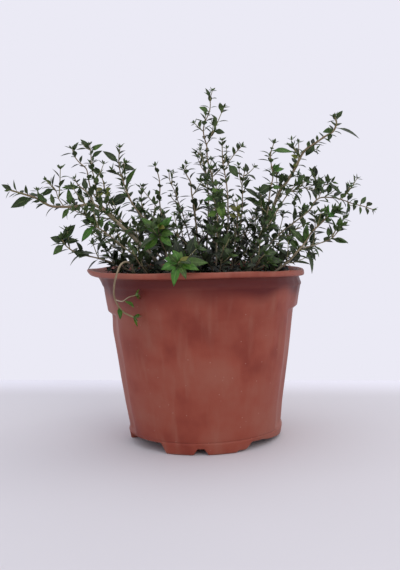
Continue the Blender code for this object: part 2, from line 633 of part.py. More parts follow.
def catmull_rom(p0, p1, p2, p3, t):
    """A point between p1 and p2 on the smooth curve through the four points."""
    return 0.5 * (2 * p1 + (p2 - p0) * t + (2 * p0 - 5 * p1 + 4 * p2 - p3) * t * t
                  + (3 * p1 - p0 - 3 * p2 + p3) * t ** 3)


class Route:
    """A smooth curve through a stem's points, read by its length in millimetres."""

    def __init__(self, points, phase):
        padded = [2 * points[0] - points[1], *points, 2 * points[-1] - points[-2]]
        self.points = [points[0]]
        for p0, p1, p2, p3 in zip(padded, padded[1:], padded[2:], padded[3:]):
            steps = max(2, round((p2 - p1).length / ROUTE_STEP))
            self.points += [catmull_rom(p0, p1, p2, p3, (i + 1) / steps) for i in range(steps)]
        self.lengths = [0.0]
        for a, b in zip(self.points, self.points[1:]):
            self.lengths.append(self.lengths[-1] + (b - a).length)
        self.total = self.lengths[-1]
        side = self.tangent(0).cross(Vector((0.31, 0.95, 0.05))).normalized()
        self.sides = [Matrix.Rotation(phase, 3, self.tangent(0)) @ side]
        for i in range(1, len(self.points)):
            ahead = self.tangent(i)
            previous = self.sides[-1]
            self.sides.append((previous - ahead * previous.dot(ahead)).normalized())

    def tangent(self, i):
        """The direction of growth at the curve's point i."""
        a = self.points[max(i - 1, 0)]
        b = self.points[min(i + 1, len(self.points) - 1)]
        return (b - a).normalized()

    def at(self, length):
        """The place, direction of growth and side at a length along the curve."""
        length = min(max(length, 0.0), self.total)
        i = 0
        while i < len(self.lengths) - 2 and self.lengths[i + 1] < length:
            i += 1
        share = (length - self.lengths[i]) / (self.lengths[i + 1] - self.lengths[i])
        place = self.points[i].lerp(self.points[i + 1], share)
        ahead = self.tangent(i).lerp(self.tangent(i + 1), share).normalized()
        side = self.sides[i].lerp(self.sides[i + 1], share)
        side = (side - ahead * side.dot(ahead)).normalized()
        return place, ahead, side


def square(place, side, up, half_side, half_up):
    """Four corners around a place, in turn about side x up."""
    across = side * half_side
    above = up * half_up
    return [place + across + above, place - across + above, place - across - above, place + across - above]


def extend(bm, face, corners):
    """The face drawn out to four new corners or to one point; returns the face at its end."""
    start = list(face.verts)
    bm.faces.remove(face)
    if len(corners) == 1:
        tip = bm.verts.new(corners[0])
        for i in range(4):
            bm.faces.new((start[i], start[(i + 1) % 4], tip))
        return None
    shift = min(range(4), key=lambda k: sum((start[i].co - corners[(i + k) % 4]).length for i in range(4)))
    ring = [bm.verts.new(corners[(i + shift) % 4]) for i in range(4)]
    for i in range(4):
        j = (i + 1) % 4
        bm.faces.new((start[i], start[j], ring[j], ring[i]))
    return bm.faces.new(ring)


def leaf_sections(base, tip, up, width, spare):
    """A leaf's sections from its stalk to its tip: corners about the way it grows."""
    reach = tip - base
    ahead = reach.normalized()
    normal = up - ahead * up.dot(ahead)
    if normal.length < 0.05:
        normal = ahead.orthogonal()
    normal.normalize()
    side = normal.cross(ahead)
    arch = normal * (reach.length * LEAF_ARCH)
    half = LEAF_THICKNESS / 2 + spare
    stalk = base + ahead * PETIOLE
    widest = base + reach * 0.5 + arch
    near_tip = base + reach * 0.8 + arch * 0.7
    sections = [square(widest, side, normal, width / 2 + spare, half)]
    if reach.length > LONG_LEAF:
        sections.insert(0, square(stalk, side, normal, 0.5 + spare, half))
        sections.append(square(near_tip, side, normal, width * 0.34 + spare, half))
    sections.append([tip])
    return sections


def tree_of(bm):
    """A bmesh's faces as a tree for clash tests, with its box."""
    bm.verts.ensure_lookup_table()
    low = Vector(min(v.co[k] for v in bm.verts) for k in range(3))
    high = Vector(max(v.co[k] for v in bm.verts) for k in range(3))
    return BVHTree.FromBMesh(bm), low, high


def leaf_tree(base, tip, up, width, spare):
    """The clash tree of one leaf, starting clear of its stem."""
    bm = bmesh.new()
    ahead = (tip - base).normalized()
    start = square(base + ahead * PETIOLE, ahead.cross(up).normalized(), up, 0.3, 0.2)
    face = bm.faces.new([bm.verts.new(c) for c in start])
    for corners in leaf_sections(base, tip, up, width, spare):
        face = extend(bm, face, corners)
    tree = tree_of(bm)
    bm.free()
    return tree


def stem_tree(route, thick):
    """The clash tree of a bare stem."""
    bm = bmesh.new()
    place, ahead, side = route.at(0)
    start = square(place, side, ahead.cross(side), thick[0], thick[0])
    face = bm.faces.new([bm.verts.new(c) for c in start])
    steps = max(4, int(route.total / CLASH_STEP))
    for i in range(1, steps + 1):
        place, ahead, side = route.at(route.total * i / steps)
        half = thick[0] + (thick[1] - thick[0]) * i / steps + GAP
        face = extend(bm, face, square(place, side, ahead.cross(side), half, half))
    tree = tree_of(bm)
    bm.free()
    return tree


def clashes(candidate, taken):
    """Whether the candidate's faces cross any of the taken trees."""
    tree, low, high = candidate
    for other, other_low, other_high in taken:
        if all(low[k] <= other_high[k] and other_low[k] <= high[k] for k in range(3)):
            if tree.overlap(other):
                return True
    return False


class Shoot:
    """A stem or a side shoot: its route, its leaves and the shoots that grow from it."""

    def __init__(self, spec, number):
        self.route = Route(spec["route"], math.radians(STEM_TURN * number))
        self.thick = spec["thick"]
        self.shoots = [Shoot(child, number + i + 5) for i, child in enumerate(spec.get("shoots", ()))]
        self.random = random.Random(number)
        self.wanted = []
        self.leaves = {}
        total = self.route.total
        for share, tip, width in spec.get("broad", ()):
            self.wanted.append(self.broad(total * share, Vector(tip), width))
        for pair in range(spec["pairs"]):
            share = pair / max(1, spec["pairs"] - 1)
            length = spec["leaf"][0] + (spec["leaf"][1] - spec["leaf"][0]) * share
            at = total * (spec["first"] + (LAST_PAIR - spec["first"]) * share)
            self.wanted += self.pair(at, pair, length)

    def half(self, at):
        """Half the stem's thickness at a length."""
        return self.thick[0] + (self.thick[1] - self.thick[0]) * at / self.route.total

    def pair(self, at, number, length):
        """Two opposite leaves at a length; each pair stands square to the one before."""
        _, ahead, side = self.route.at(at)
        across = ahead.cross(side)
        leaves = []
        for turn in (0, 2):
            face = (turn + number) % 4
            out = (side, across, -side, -across)[face]
            spread = math.radians(self.random.uniform(*LEAF_SPREAD))
            size = length * self.random.uniform(*LEAF_SIZES)
            droop = Vector((0, 0, -LEAF_DROOP * self.random.random()))
            way = (out * math.sin(spread) + ahead * math.cos(spread) + droop).normalized()
            leaves.append((at, face, way * size, ahead, size * self.random.uniform(*LEAF_WIDTHS)))
        return leaves

    def broad(self, at, tip, width):
        """A leaf whose tip is given; it grows from the nearest side of the stem."""
        place, ahead, side = self.route.at(at)
        across = ahead.cross(side)
        outs = (side, across, -side, -across)
        way = tip - place
        face = max(range(4), key=lambda k: outs[k].dot(way))
        return at, face, way - outs[face] * self.half(at), ahead, width

    def settle_leaves(self, taken):
        """Keep each wanted leaf in the nearest attitude that is clear of everything taken."""
        for at, face, reach, ahead, width in self.wanted:
            near = [other for other in self.leaves if abs(at - other) < PAIR_RING * 1.3]
            at = near[0] if near else at
            place, _, side = self.route.at(at)
            outs = (side, ahead.cross(side), -side, -ahead.cross(side))
            base = place + outs[face] * self.half(at)
            if face in self.leaves.get(at, {}):
                continue
            for scale in LEAF_SCALES:
                placed = False
                for turn in LEAF_TURNS:
                    turned = Matrix.Rotation(math.radians(turn), 3, ahead) @ reach * scale
                    tip = base + turned
                    if clashes(leaf_tree(base, tip, ahead, width * scale, GAP), taken):
                        continue
                    taken.append(leaf_tree(base, tip, ahead, width * scale, 0.0))
                    self.leaves.setdefault(at, {})[face] = (base, tip, ahead, width * scale)
                    placed = True
                    break
                if placed:
                    break
        for child in self.shoots:
            child.settle_leaves(taken)

    def stations(self):
        """The lengths at which the stem gets rings: (length, leaves, child)."""
        found = [(at, faces, None) for at, faces in self.leaves.items()]
        for child in self.shoots:
            start = child.route.points[0]
            nearest = min(range(len(self.route.points)), key=lambda i: (self.route.points[i] - start).length)
            at = self.route.lengths[nearest]
            while any(abs(at - other) < PAIR_RING * 1.4 for other, _, _ in found):
                at += 0.2
            found.append((at, {}, child))
        found.sort(key=lambda station: station[0])
        return found

    def grow(self, bm, face, start):
        """The stem drawn out from a face, with its leaves and side shoots."""
        at = start
        for station, leaves, child in self.stations():
            half_ring = PAIR_RING / 2 if child is None else child.thick[0]
            low = max(station - half_ring, at + 0.3)
            while low - at > PLAIN_RING_STEP:
                at += (low - at) / max(2, math.ceil((low - at) / PLAIN_RING_STEP))
                face = extend(bm, face, self.ring(at))
            face = extend(bm, face, self.ring(low))
            lower = list(face.verts)
            at = min(station + half_ring, self.route.total)
            face = extend(bm, face, self.ring(at))
            sides = self.side_faces(lower, list(face.verts), station)
            for number, leaf in leaves.items():
                end = sides[number]
                for corners in leaf_sections(*leaf, 0.0):
                    end = extend(bm, end, corners)
            if child:
                place, _, side = self.route.at(station)
                way = child.route.at(child.thick[0] * 4)[0] - place
                number = max(sides, key=lambda k: self.outs(station)[k].dot(way))
                child.grow(bm, sides[number], self.half(station) + 1.5 * child.thick[0])
        if self.route.total - at > PLAIN_RING_STEP:
            face = extend(bm, face, self.ring((at + self.route.total) / 2))
        place, ahead, _ = self.route.at(self.route.total)
        extend(bm, face, [place + ahead * TIP_LENGTH])

    def outs(self, at):
        """The four ways out of the stem's sides at a length."""
        _, ahead, side = self.route.at(at)
        across = ahead.cross(side)
        return {0: side, 1: across, 2: -side, 3: -across}

    def flat_end(self):
        """The level section at the stem's foot."""
        place, _, side = self.route.at(0)
        level = Vector((side.x, side.y, 0)).normalized()
        return square(place, level, Vector((0, 0, 1)).cross(level), self.thick[0], self.thick[0])

    def ring(self, at):
        """The stem's square section at a length."""
        place, ahead, side = self.route.at(at)
        half = self.half(at)
        return square(place, side, ahead.cross(side), half, half)

    def side_faces(self, lower, upper, at):
        """The four faces between two rings, by the way out that each looks."""
        faces = {}
        ends = set(lower) | set(upper)
        for face in {f for v in lower for f in v.link_faces}:
            if len(face.verts) == 4 and set(face.verts) <= ends and set(face.verts) != set(upper):
                middle = face.calc_center_median() - self.route.at(at)[0]
                outs = self.outs(at)
                faces[max(outs, key=lambda k: outs[k].dot(middle))] = face
        return faces


def footing(start, half, soil):
    """The height at which a stem's flat end stands a gap above the potting mix."""
    highest = -1e9
    for i in range(9):
        angle = i * math.pi / 4
        reach = 0 if i == 8 else half * 1.5
        x = start.x + reach * math.cos(angle)
        y = start.y + reach * math.sin(angle)
        hit = soil.ray_cast(Vector((x, y, 150)), Vector((0, 0, -1)))
        highest = max(highest, hit[0].z)
    return highest + GAP


def build_plant(pot, soil):
    """Every stem with its leaves, clear of the pot, the potting mix and each other."""
    taken = []
    depsgraph = bpy.context.evaluated_depsgraph_get()
    for solid in (pot, soil):
        bm = bmesh.new()
        bm.from_object(solid, depsgraph)
        bmesh.ops.scale(bm, vec=(1 / MM, 1 / MM, 1 / MM), verts=bm.verts)
        taken.append(tree_of(bm))
        bm.free()
    soil_tree = taken[1][0]
    shoots = {}
    for number, (name, spec) in enumerate(STEMS.items()):
        half = spec["thick"][0]
        start = spec["route"][0]
        start.z = footing(start, half, soil_tree)
        shoots[name] = Shoot(spec, number)
    for shoot in shoots.values():
        for part in (shoot, *shoot.shoots):
            taken.append(stem_tree(part.route, part.thick))
    for shoot in shoots.values():
        shoot.settle_leaves(taken)
    for name, shoot in shoots.items():
        bm = bmesh.new()
        face = bm.faces.new([bm.verts.new(c) for c in shoot.flat_end()])
        base = list(reversed(face.verts))
        shoot.grow(bm, face, 0.0)
        bm.faces.new(base)
        add_object(name, bm, "thyme green")


def main():
    """Clear the scene and build the pot, the potting mix and the plant."""
    for old in list(bpy.data.objects):
        bpy.data.objects.remove(old, do_unlink=True)
    pot = build_pot()
    soil = build_soil()
    build_plant(pot, soil)


main()
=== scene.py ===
"""Potted thyme, finished for show: the moulded pot, its potting mix and the leafy stems.

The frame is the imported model's: origin on the floor under the pot's axis, +Z up, -Y the front,
+X to the right. Sizes in the tables and the classes are in millimetres; meshes are in metres.
"""

import logging
import math
import random
from dataclasses import dataclass, field
from enum import Enum
from typing import Any

import bmesh
import bpy
from mathutils import Matrix, Vector, noise


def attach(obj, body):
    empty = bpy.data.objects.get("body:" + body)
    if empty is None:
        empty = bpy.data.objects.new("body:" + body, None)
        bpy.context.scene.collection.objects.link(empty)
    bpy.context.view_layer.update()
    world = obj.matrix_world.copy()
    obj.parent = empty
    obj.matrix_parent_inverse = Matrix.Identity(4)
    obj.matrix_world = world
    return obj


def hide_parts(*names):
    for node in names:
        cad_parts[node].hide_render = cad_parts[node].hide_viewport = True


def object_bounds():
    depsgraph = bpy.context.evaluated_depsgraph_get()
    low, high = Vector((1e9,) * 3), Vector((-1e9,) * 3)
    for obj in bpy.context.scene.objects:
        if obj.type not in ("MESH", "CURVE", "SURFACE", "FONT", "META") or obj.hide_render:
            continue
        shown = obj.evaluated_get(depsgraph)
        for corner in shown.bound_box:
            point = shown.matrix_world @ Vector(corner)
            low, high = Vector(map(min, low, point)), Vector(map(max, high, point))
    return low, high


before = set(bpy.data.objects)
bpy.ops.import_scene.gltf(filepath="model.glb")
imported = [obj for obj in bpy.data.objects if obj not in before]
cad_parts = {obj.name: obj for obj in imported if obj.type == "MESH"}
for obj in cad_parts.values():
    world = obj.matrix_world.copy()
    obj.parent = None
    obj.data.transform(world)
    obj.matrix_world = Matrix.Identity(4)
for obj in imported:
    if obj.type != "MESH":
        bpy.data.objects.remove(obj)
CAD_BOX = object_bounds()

LOG = logging.getLogger("potted_thyme")
MM = 0.001
BODY = "root"

# Painted shade: growth is darkened inside the plant, and at full colour above these heights or outside
# these radii.
DARKEST_PAINTED_SHADE = 0.24
SUNNY_LEVELS = (128, 188)
OPEN_AIR = (60, 74)

Point = tuple[float, float, float]
Colour = tuple[float, float, float, float]


class Slot(Enum):
    """The material slots."""

    POT = "pot_plastic"
    MIX = "potting_mix"
    WOOD = "woody_stem"
    LEAF = "thyme_leaf"


class Tone(Enum):
    """A leaf's age and light, as its place on the leaf colour ramp."""

    DEEP = 0.10
    GREEN = 0.38
    VIVID = 0.70
    OLIVE = 0.95


# ---------------------------------------------------------------- nodes and meshes


def to_linear(code: str) -> Colour:
    """Turn an sRGB hex colour to a scene-linear one.

    Args:
        code: The colour as "#rrggbb".

    Returns:
        Red, green, blue and an alpha of 1, scene-linear.
    """
    parts = [int(code[i : i + 2], 16) / 255 for i in (1, 3, 5)]
    red, green, blue = (c / 12.92 if c <= 0.04045 else ((c + 0.055) / 1.055) ** 2.4 for c in parts)
    return red, green, blue, 1.0


def add_node(
    tree: bpy.types.NodeTree,
    kind: str,
    settings: dict[str, Any] | None = None,
    inputs: dict[int | str, Any] | None = None,
) -> bpy.types.Node:
    """Add a node, set it up and link it.

    Args:
        tree: The material's or the geometry's node tree.
        kind: The node's type.
        settings: Its properties by name. "stops" fills a colour ramp with (place, hex colour)
            pairs and "points" fills a float curve with (x, y) pairs.
        inputs: Its sockets by name or number. A node stands for its first output, a socket is
            linked, and anything else is the socket's value.

    Returns:
        The new node.
    """
    node = tree.nodes.new(kind)
    for name, value in (settings or {}).items():
        if name == "stops":
            ramp = node.color_ramp.elements
            while len(ramp) < len(value):
                ramp.new(1.0)
            for stop, (place, code) in zip(ramp, value):
                stop.position = place
                stop.color = to_linear(code)
        elif name == "points":
            curve = node.mapping.curves[0].points
            while len(curve) < len(value):
                curve.new(0.5, 0.5)
            for dot, place in zip(curve, value):
                dot.location = place
            node.mapping.update()
        else:
            setattr(node, name, value)
    for key, value in (inputs or {}).items():
        if isinstance(value, bpy.types.Node):
            tree.links.new(value.outputs[0], node.inputs[key])
        elif isinstance(value, bpy.types.NodeSocket):
            tree.links.new(value, node.inputs[key])
        else:
            node.inputs[key].default_value = value
    return node


def calc(tree: bpy.types.NodeTree, operation: str, *values: Any, clamp: bool = False) -> bpy.types.Node:
    """Add a maths node.

    Args:
        tree: The node tree.
        operation: The sum it does.
        values: Its numbers, in the order of its sockets.
        clamp: Whether its result is kept between 0 and 1.

    Returns:
        The node.
    """
    settings = {"operation": operation, "use_clamp": clamp}
    return add_node(tree, "ShaderNodeMath", settings, dict(enumerate(values)))


def vector_calc(
    tree: bpy.types.NodeTree, operation: str, *vectors: Any, scale: Any = None
) -> bpy.types.Node:
    """Add a vector maths node.

    Args:
        tree: The node tree.
        operation: The sum it does.
        vectors: Its vectors, in the order of its sockets.
        scale: The factor, where the operation is SCALE.

    Returns:
        The node.
    """
    inputs: dict[int | str, Any] = dict(enumerate(vectors))
    if scale is not None:
        inputs["Scale"] = scale
    return add_node(tree, "ShaderNodeVectorMath", {"operation": operation}, inputs)


def split(tree: bpy.types.NodeTree, vector: Any) -> bpy.types.Node:
    """Part a vector into its X, Y and Z."""
    return add_node(tree, "ShaderNodeSeparateXYZ", None, {0: vector})


def join(tree: bpy.types.NodeTree, x: Any = 0.0, y: Any = 0.0, z: Any = 0.0) -> bpy.types.Node:
    """Make a vector of three numbers."""
    return add_node(tree, "ShaderNodeCombineXYZ", None, {0: x, 1: y, 2: z})


def remap(
    tree: bpy.types.NodeTree, value: Any, low: float, high: float,
    to_low: float = 0.0, to_high: float = 1.0, smooth: bool = False,
) -> bpy.types.Node:
    """Stretch a range of values to another, and clamp what lies outside.

    Args:
        tree: The node tree.
        value: What is read.
        low: The value that becomes to_low.
        high: The value that becomes to_high.
        to_low: The result at low.
        to_high: The result at high.
        smooth: Whether it eases at both ends.

    Returns:
        The node.
    """
    settings = {"interpolation_type": "SMOOTHSTEP" if smooth else "LINEAR"}
    inputs = {"Value": value, "From Min": low, "From Max": high, "To Min": to_low, "To Max": to_high}
    return add_node(tree, "ShaderNodeMapRange", settings, inputs)


def fractal(
    tree: bpy.types.NodeTree, place: Any, size: float, detail: float, roughness: float = 0.5
) -> bpy.types.Node:
    """Add fractal noise.

    Args:
        tree: The node tree.
        place: Where it is read.
        size: The size of its largest patches, in millimetres.
        detail: How many finer layers it has.
        roughness: How strong each of them is.

    Returns:
        The node.
    """
    inputs = {"Vector": place, "Scale": 1 / (size * MM), "Detail": detail, "Roughness": roughness}
    return add_node(tree, "ShaderNodeTexNoise", None, inputs)


def attribute(tree: bpy.types.NodeTree, name: str, output: str = "Fac") -> bpy.types.NodeSocket:
    """Read one of the mesh's own attributes in a material."""
    return add_node(tree, "ShaderNodeAttribute", {"attribute_name": name}).outputs[output]


def blend(tree: bpy.types.NodeTree, share: Any, first: Any, second: Any) -> bpy.types.NodeSocket:
    """Mix two colours.

    Args:
        tree: The node tree.
        share: How much of the second shows.
        first: The first colour, as a socket or "#rrggbb".
        second: The second colour, likewise.

    Returns:
        The mixed colour.
    """
    pair = [to_linear(colour) if isinstance(colour, str) else colour for colour in (first, second)]
    mixed = add_node(
        tree, "ShaderNodeMix", {"data_type": "RGBA"}, {0: share, 6: pair[0], 7: pair[1]}
    )
    return mixed.outputs[2]


def shaded(tree: bpy.types.NodeTree, colour: Any, shade: Any) -> bpy.types.NodeSocket:
    """Multiply a colour by a grey level.

    Args:
        tree: The node tree.
        colour: The colour.
        shade: The level, 1 to keep it as it is.

    Returns:
        The shaded colour.
    """
    grey = add_node(tree, "ShaderNodeCombineColor", None, {0: shade, 1: shade, 2: shade})
    settings = {"data_type": "RGBA", "blend_type": "MULTIPLY"}
    return add_node(tree, "ShaderNodeMix", settings, {0: 1.0, 6: colour, 7: grey}).outputs[2]


def raise_bumps(
    tree: bpy.types.NodeTree, shader: bpy.types.Node, height: Any, strength: float, depth: float
) -> None:
    """Give a shader fine relief.

    Args:
        tree: The node tree.
        shader: The Principled shader.
        height: The relief.
        strength: How strong it is.
        depth: Its depth in millimetres.
    """
    bump = add_node(
        tree, "ShaderNodeBump", None, {"Strength": strength, "Distance": depth * MM, "Height": height}
    )
    tree.links.new(bump.outputs[0], shader.inputs["Normal"])


def named(tree: bpy.types.NodeTree, name: str, kind: str = "FLOAT") -> bpy.types.Node:
    """Read one of a mesh's own attributes in a Geometry Nodes tree."""
    return add_node(tree, "GeometryNodeInputNamedAttribute", {"data_type": kind}, {"Name": name})


def store(
    tree: bpy.types.NodeTree, shape: Any, name: str, value: Any, kind: str = "FLOAT", domain: str = "POINT"
) -> bpy.types.Node:
    """Store an attribute on a mesh.

    Args:
        tree: The Geometry Nodes tree.
        shape: The mesh or curve.
        name: The attribute's name.
        value: Its value.
        kind: Its data type.
        domain: What carries it.

    Returns:
        The node.
    """
    settings = {"data_type": kind, "domain": domain}
    inputs = {"Geometry": shape, "Name": name, "Value": value}
    return add_node(tree, "GeometryNodeStoreNamedAttribute", settings, inputs)


def new_material(name: str) -> tuple[bpy.types.Material, bpy.types.NodeTree, bpy.types.Node]:
    """Start a material from one Principled shader.

    Args:
        name: What the real material is and how it was made.

    Returns:
        The material, its tree and its shader.
    """
    made = bpy.data.materials.new(name)
    made.use_nodes = True
    return made, made.node_tree, made.node_tree.nodes["Principled BSDF"]


def new_geometry_tree(
    name: str, sizes: dict[str, tuple[str, Any]]
) -> tuple[bpy.types.NodeTree, bpy.types.Node, bpy.types.Node]:
    """Start a Geometry Nodes tree with named inputs.

    Args:
        name: The tree's name.
        sizes: The inputs after the geometry: their socket type and first value by name.

    Returns:
        The tree, its input node and its output node.
    """
    tree = bpy.data.node_groups.new(name, "GeometryNodeTree")
    tree.interface.new_socket("Geometry", in_out="INPUT", socket_type="NodeSocketGeometry")
    for label, (kind, value) in sizes.items():
        socket = tree.interface.new_socket(label, in_out="INPUT", socket_type=kind)
        if value is not None:
            socket.default_value = value
    tree.interface.new_socket("Geometry", in_out="OUTPUT", socket_type="NodeSocketGeometry")
    return tree, add_node(tree, "NodeGroupInput"), add_node(tree, "NodeGroupOutput")


def dress(
    tree: bpy.types.NodeTree, shape: bpy.types.Node, given: bpy.types.Node, out: bpy.types.Node
) -> None:
    """End a Geometry Nodes tree: give its shape the input material and send it out.

    Args:
        tree: The tree.
        shape: The node whose first output is the finished shape.
        given: The tree's input node.
        out: Its output node.
    """
    inputs = {"Geometry": shape, "Material": given.outputs["Finish"]}
    dressed = add_node(tree, "GeometryNodeSetMaterial", None, inputs)
    tree.links.new(dressed.outputs[0], out.inputs[0])


def new_object(name: str, mesh: bpy.types.Mesh) -> bpy.types.Object:
    """Put a mesh in the scene as an object at the origin.

    Args:
        name: The piece's name.
        mesh: Its mesh, in metres.

    Returns:
        The object.
    """
    made = bpy.data.objects.new(name, mesh)
    bpy.context.scene.collection.objects.link(made)
    return made


def keep_shape(piece: bpy.types.Object) -> None:
    """Make a piece's modified shape its plain mesh, and remove the modifiers."""
    depsgraph = bpy.context.evaluated_depsgraph_get()
    shaped = bpy.data.meshes.new_from_object(
        piece.evaluated_get(depsgraph), preserve_all_data_layers=True, depsgraph=depsgraph
    )
    piece.modifiers.clear()
    piece.data = shaped
    shaped.name = piece.name


def bridge(bm: bmesh.types.BMesh, rings: list[list[bmesh.types.BMVert]]) -> None:
    """Join each ring of vertices to the next with quads.

    Args:
        bm: The mesh being built.
        rings: The rings, with as many vertices each.
    """
    for lower, upper in zip(rings, rings[1:]):
        for i in range(len(lower)):
            j = (i + 1) % len(lower)
            bm.faces.new((lower[i], lower[j], upper[j], upper[i]))


def to_mesh(bm: bmesh.types.BMesh, name: str) -> bpy.types.Mesh:
    """Turn the faces outwards, and store a mesh that is being built under a name."""
    bmesh.ops.recalc_face_normals(bm, faces=bm.faces)
    mesh = bpy.data.meshes.new(name)
    bm.to_mesh(mesh)
    bm.free()
    return mesh


def shape_with(piece: bpy.types.Object, tree: bpy.types.NodeTree, sizes: dict[str, Any]) -> None:
    """Run a Geometry Nodes tree on a piece and keep the plain mesh it makes.

    Args:
        piece: The object whose mesh goes into the tree.
        tree: The Geometry Nodes tree.
        sizes: Values for the tree's named inputs.
    """
    modifier = piece.modifiers.new(tree.name, "NODES")
    modifier.node_group = tree
    for socket in tree.interface.items_tree:
        if socket.in_out == "INPUT" and socket.name in sizes:
            modifier[socket.identifier] = sizes[socket.name]
    keep_shape(piece)


def hand_over(piece: bpy.types.Object, slot: Slot, *nodes: str) -> None:
    """Let a finished piece ride on the model's body and stand for CAD nodes.

    Args:
        piece: The finished object.
        slot: The material slot that its finish belongs to; not used.
        nodes: The CAD nodes that it stands for, if any.
    """
    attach(piece, BODY)
    if nodes:
        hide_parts(*nodes)
    LOG.info("%s: %d faces", piece.name, len(piece.data.polygons))


def smooth_step(value: float, low: float, high: float) -> float:
    """Ease from 0 at low to 1 at high.

    Args:
        value: Where to read.
        low: Where the step starts.
        high: Where it ends.

    Returns:
        The step's height, 0 to 1.
    """
    t = min(max((value - low) / (high - low), 0.0), 1.0)
    return t * t * (3 - 2 * t)


# ---------------------------------------------------------------- finishes


@dataclass(frozen=True)
class MouldedPolypropylene:
    """The pot's thin injection-moulded polypropylene, coloured right through as terracotta.

    It gives the eye a soft satin sheen over a warm red-brown, with the cloudy bloom, the water
    runs and the lime specks of a pot that has stood in a nursery. Painted shade darkens the band
    under the lip, and a painted sheen lightens the flute crests.
    """

    body: str = "#904433"
    worn: str = "#965c4b"
    damp: str = "#762b1f"
    lip_shade_colour: str = "#551510"
    lime: str = "#a87a6c"
    scuff_and_sheen: str = "#99614f"
    roughness: float = 0.46
    cloud: float = 34.0
    speck: float = 5.0
    run: float = 7.0
    grain: float = 0.9

    def make(self) -> bpy.types.Material:
        """Build the material.

        Returns:
            The material.
        """
        made, tree, shader = new_material("injection_moulded_polypropylene")
        place = add_node(tree, "ShaderNodeTexCoord").outputs["Object"]
        clouds = fractal(tree, place, self.cloud, 3.0, 0.55)
        tall = add_node(tree, "ShaderNodeMapping", None, {"Vector": place, "Scale": (1.0, 1.0, 0.12)})
        runs = fractal(tree, tall, self.run, 2.0, 0.5)
        bloom = remap(tree, clouds, 0.42, 0.72, 0.0, 0.6, smooth=True)
        dark = remap(tree, clouds, 0.52, 0.26, 0.0, 0.75, smooth=True)
        streak = remap(tree, runs, 0.48, 0.8, 0.0, 0.6, smooth=True)
        colour = blend(tree, bloom, self.body, self.worn)
        colour = blend(tree, dark, colour, self.damp)
        colour = blend(tree, streak, colour, self.worn)
        # Lime specks are about 0.3 mm; they are drawn a little larger so that they show.
        specks = add_node(
            tree, "ShaderNodeTexVoronoi", None, {"Vector": place, "Scale": 1 / (self.speck * MM)},
        )
        spot = remap(tree, specks.outputs["Distance"], 0.09, 0.04, 0.0, 0.75)
        colour = blend(tree, spot, colour, self.lime)
        # Painted shade: a dark band under the lip where its shadow falls, fainter down the upper wall.
        stain = calc(tree, "MULTIPLY", attribute(tree, "stain"), 0.72, clamp=True)
        colour = blend(tree, stain, colour, self.lip_shade_colour)
        # Real wear on the lip, foot edges and bent corner, and painted sheen on the flute crests.
        wear = attribute(tree, "wear")
        patchy = calc(tree, "MULTIPLY", wear, remap(tree, runs, 0.35, 0.6, 0.2, 0.75), clamp=True)
        colour = blend(tree, patchy, colour, self.scuff_and_sheen)
        tree.links.new(colour, shader.inputs["Base Color"])
        gloss = remap(tree, runs, 0.3, 0.7, self.roughness - 0.06, self.roughness + 0.12)
        tree.links.new(gloss.outputs[0], shader.inputs["Roughness"])
        texture = fractal(tree, place, self.grain, 2.0)
        raise_bumps(tree, shader, texture, 0.18, 0.3)
        shader.inputs["Specular IOR Level"].default_value = 0.28
        shader.inputs["IOR"].default_value = 1.49
        return made


@dataclass(frozen=True)
class PeatMix:
    """Damp peat and bark fines, tipped in and settled by watering.

    It gives the eye a matt, almost black brown with paler fibres and no gloss at all.
    """

    wet: str = "#1d140e"
    dry: str = "#4a3524"
    crumb: float = 2.2

    def make(self) -> bpy.types.Material:
        """Build the material.

        Returns:
            The material.
        """
        made, tree, shader = new_material("damp_peat_mix")
        place = add_node(tree, "ShaderNodeTexCoord").outputs["Object"]
        crumbs = fractal(tree, place, self.crumb, 5.0, 0.65)
        colour = add_node(
            tree, "ShaderNodeValToRGB", {"stops": [(0.35, self.wet), (0.62, self.dry), (0.8, "#6f5539")]},
            {"Fac": crumbs},
        )
        tree.links.new(colour.outputs[0], shader.inputs["Base Color"])
        raise_bumps(tree, shader, crumbs, 0.8, 1)
        shader.inputs["Roughness"].default_value = 0.95
        shader.inputs["Specular IOR Level"].default_value = 0.2
        return made


@dataclass(frozen=True)
class ThymeBark:
    """Thyme bark: fibrous and tan-grey where it is old, red-brown then olive where it is young.

    It gives the eye fine stringy lines along the stem, and a dull dry surface.
    """

    olive: str = "#8a8560"
    ruddy: str = "#7d6a50"
    tan: str = "#968a70"
    grey: str = "#aba28f"
    fibre: float = 0.5

    def make(self) -> bpy.types.Material:
        """Build the material.

        Returns:
            The material.
        """
        made, tree, shader = new_material("fibrous_thyme_bark")
        grain = attribute(tree, "grain", "Vector")
        age = attribute(tree, "age")
        fibres = fractal(tree, grain, self.fibre, 3.0, 0.6)
        shifted = calc(tree, "MULTIPLY_ADD", calc(tree, "SUBTRACT", fibres, 0.5), 0.55, age, clamp=True)
        colour = add_node(
            tree, "ShaderNodeValToRGB",
            {
                "stops": [
                    (0.0, self.olive), (0.3, self.olive), (0.48, self.ruddy), (0.72, self.tan),
                    (1.0, self.grey),
                ],
            },
            {"Fac": shifted},
        )
        crack = remap(tree, fibres, 0.3, 0.48, 0.45, 0.0)
        dark = blend(tree, crack, colour, "#3a2a1e")
        # The shade attribute carries painted shade: the bark is darker low down and inside the plant.
        shade = attribute(tree, "shade")
        lit = shaded(tree, dark, shade)
        tree.links.new(lit, shader.inputs["Base Color"])
        raise_bumps(tree, shader, fibres, 0.5, 0.3)
        shader.inputs["Roughness"].default_value = 0.78
        shader.inputs["Specular IOR Level"].default_value = 0.3
        return made


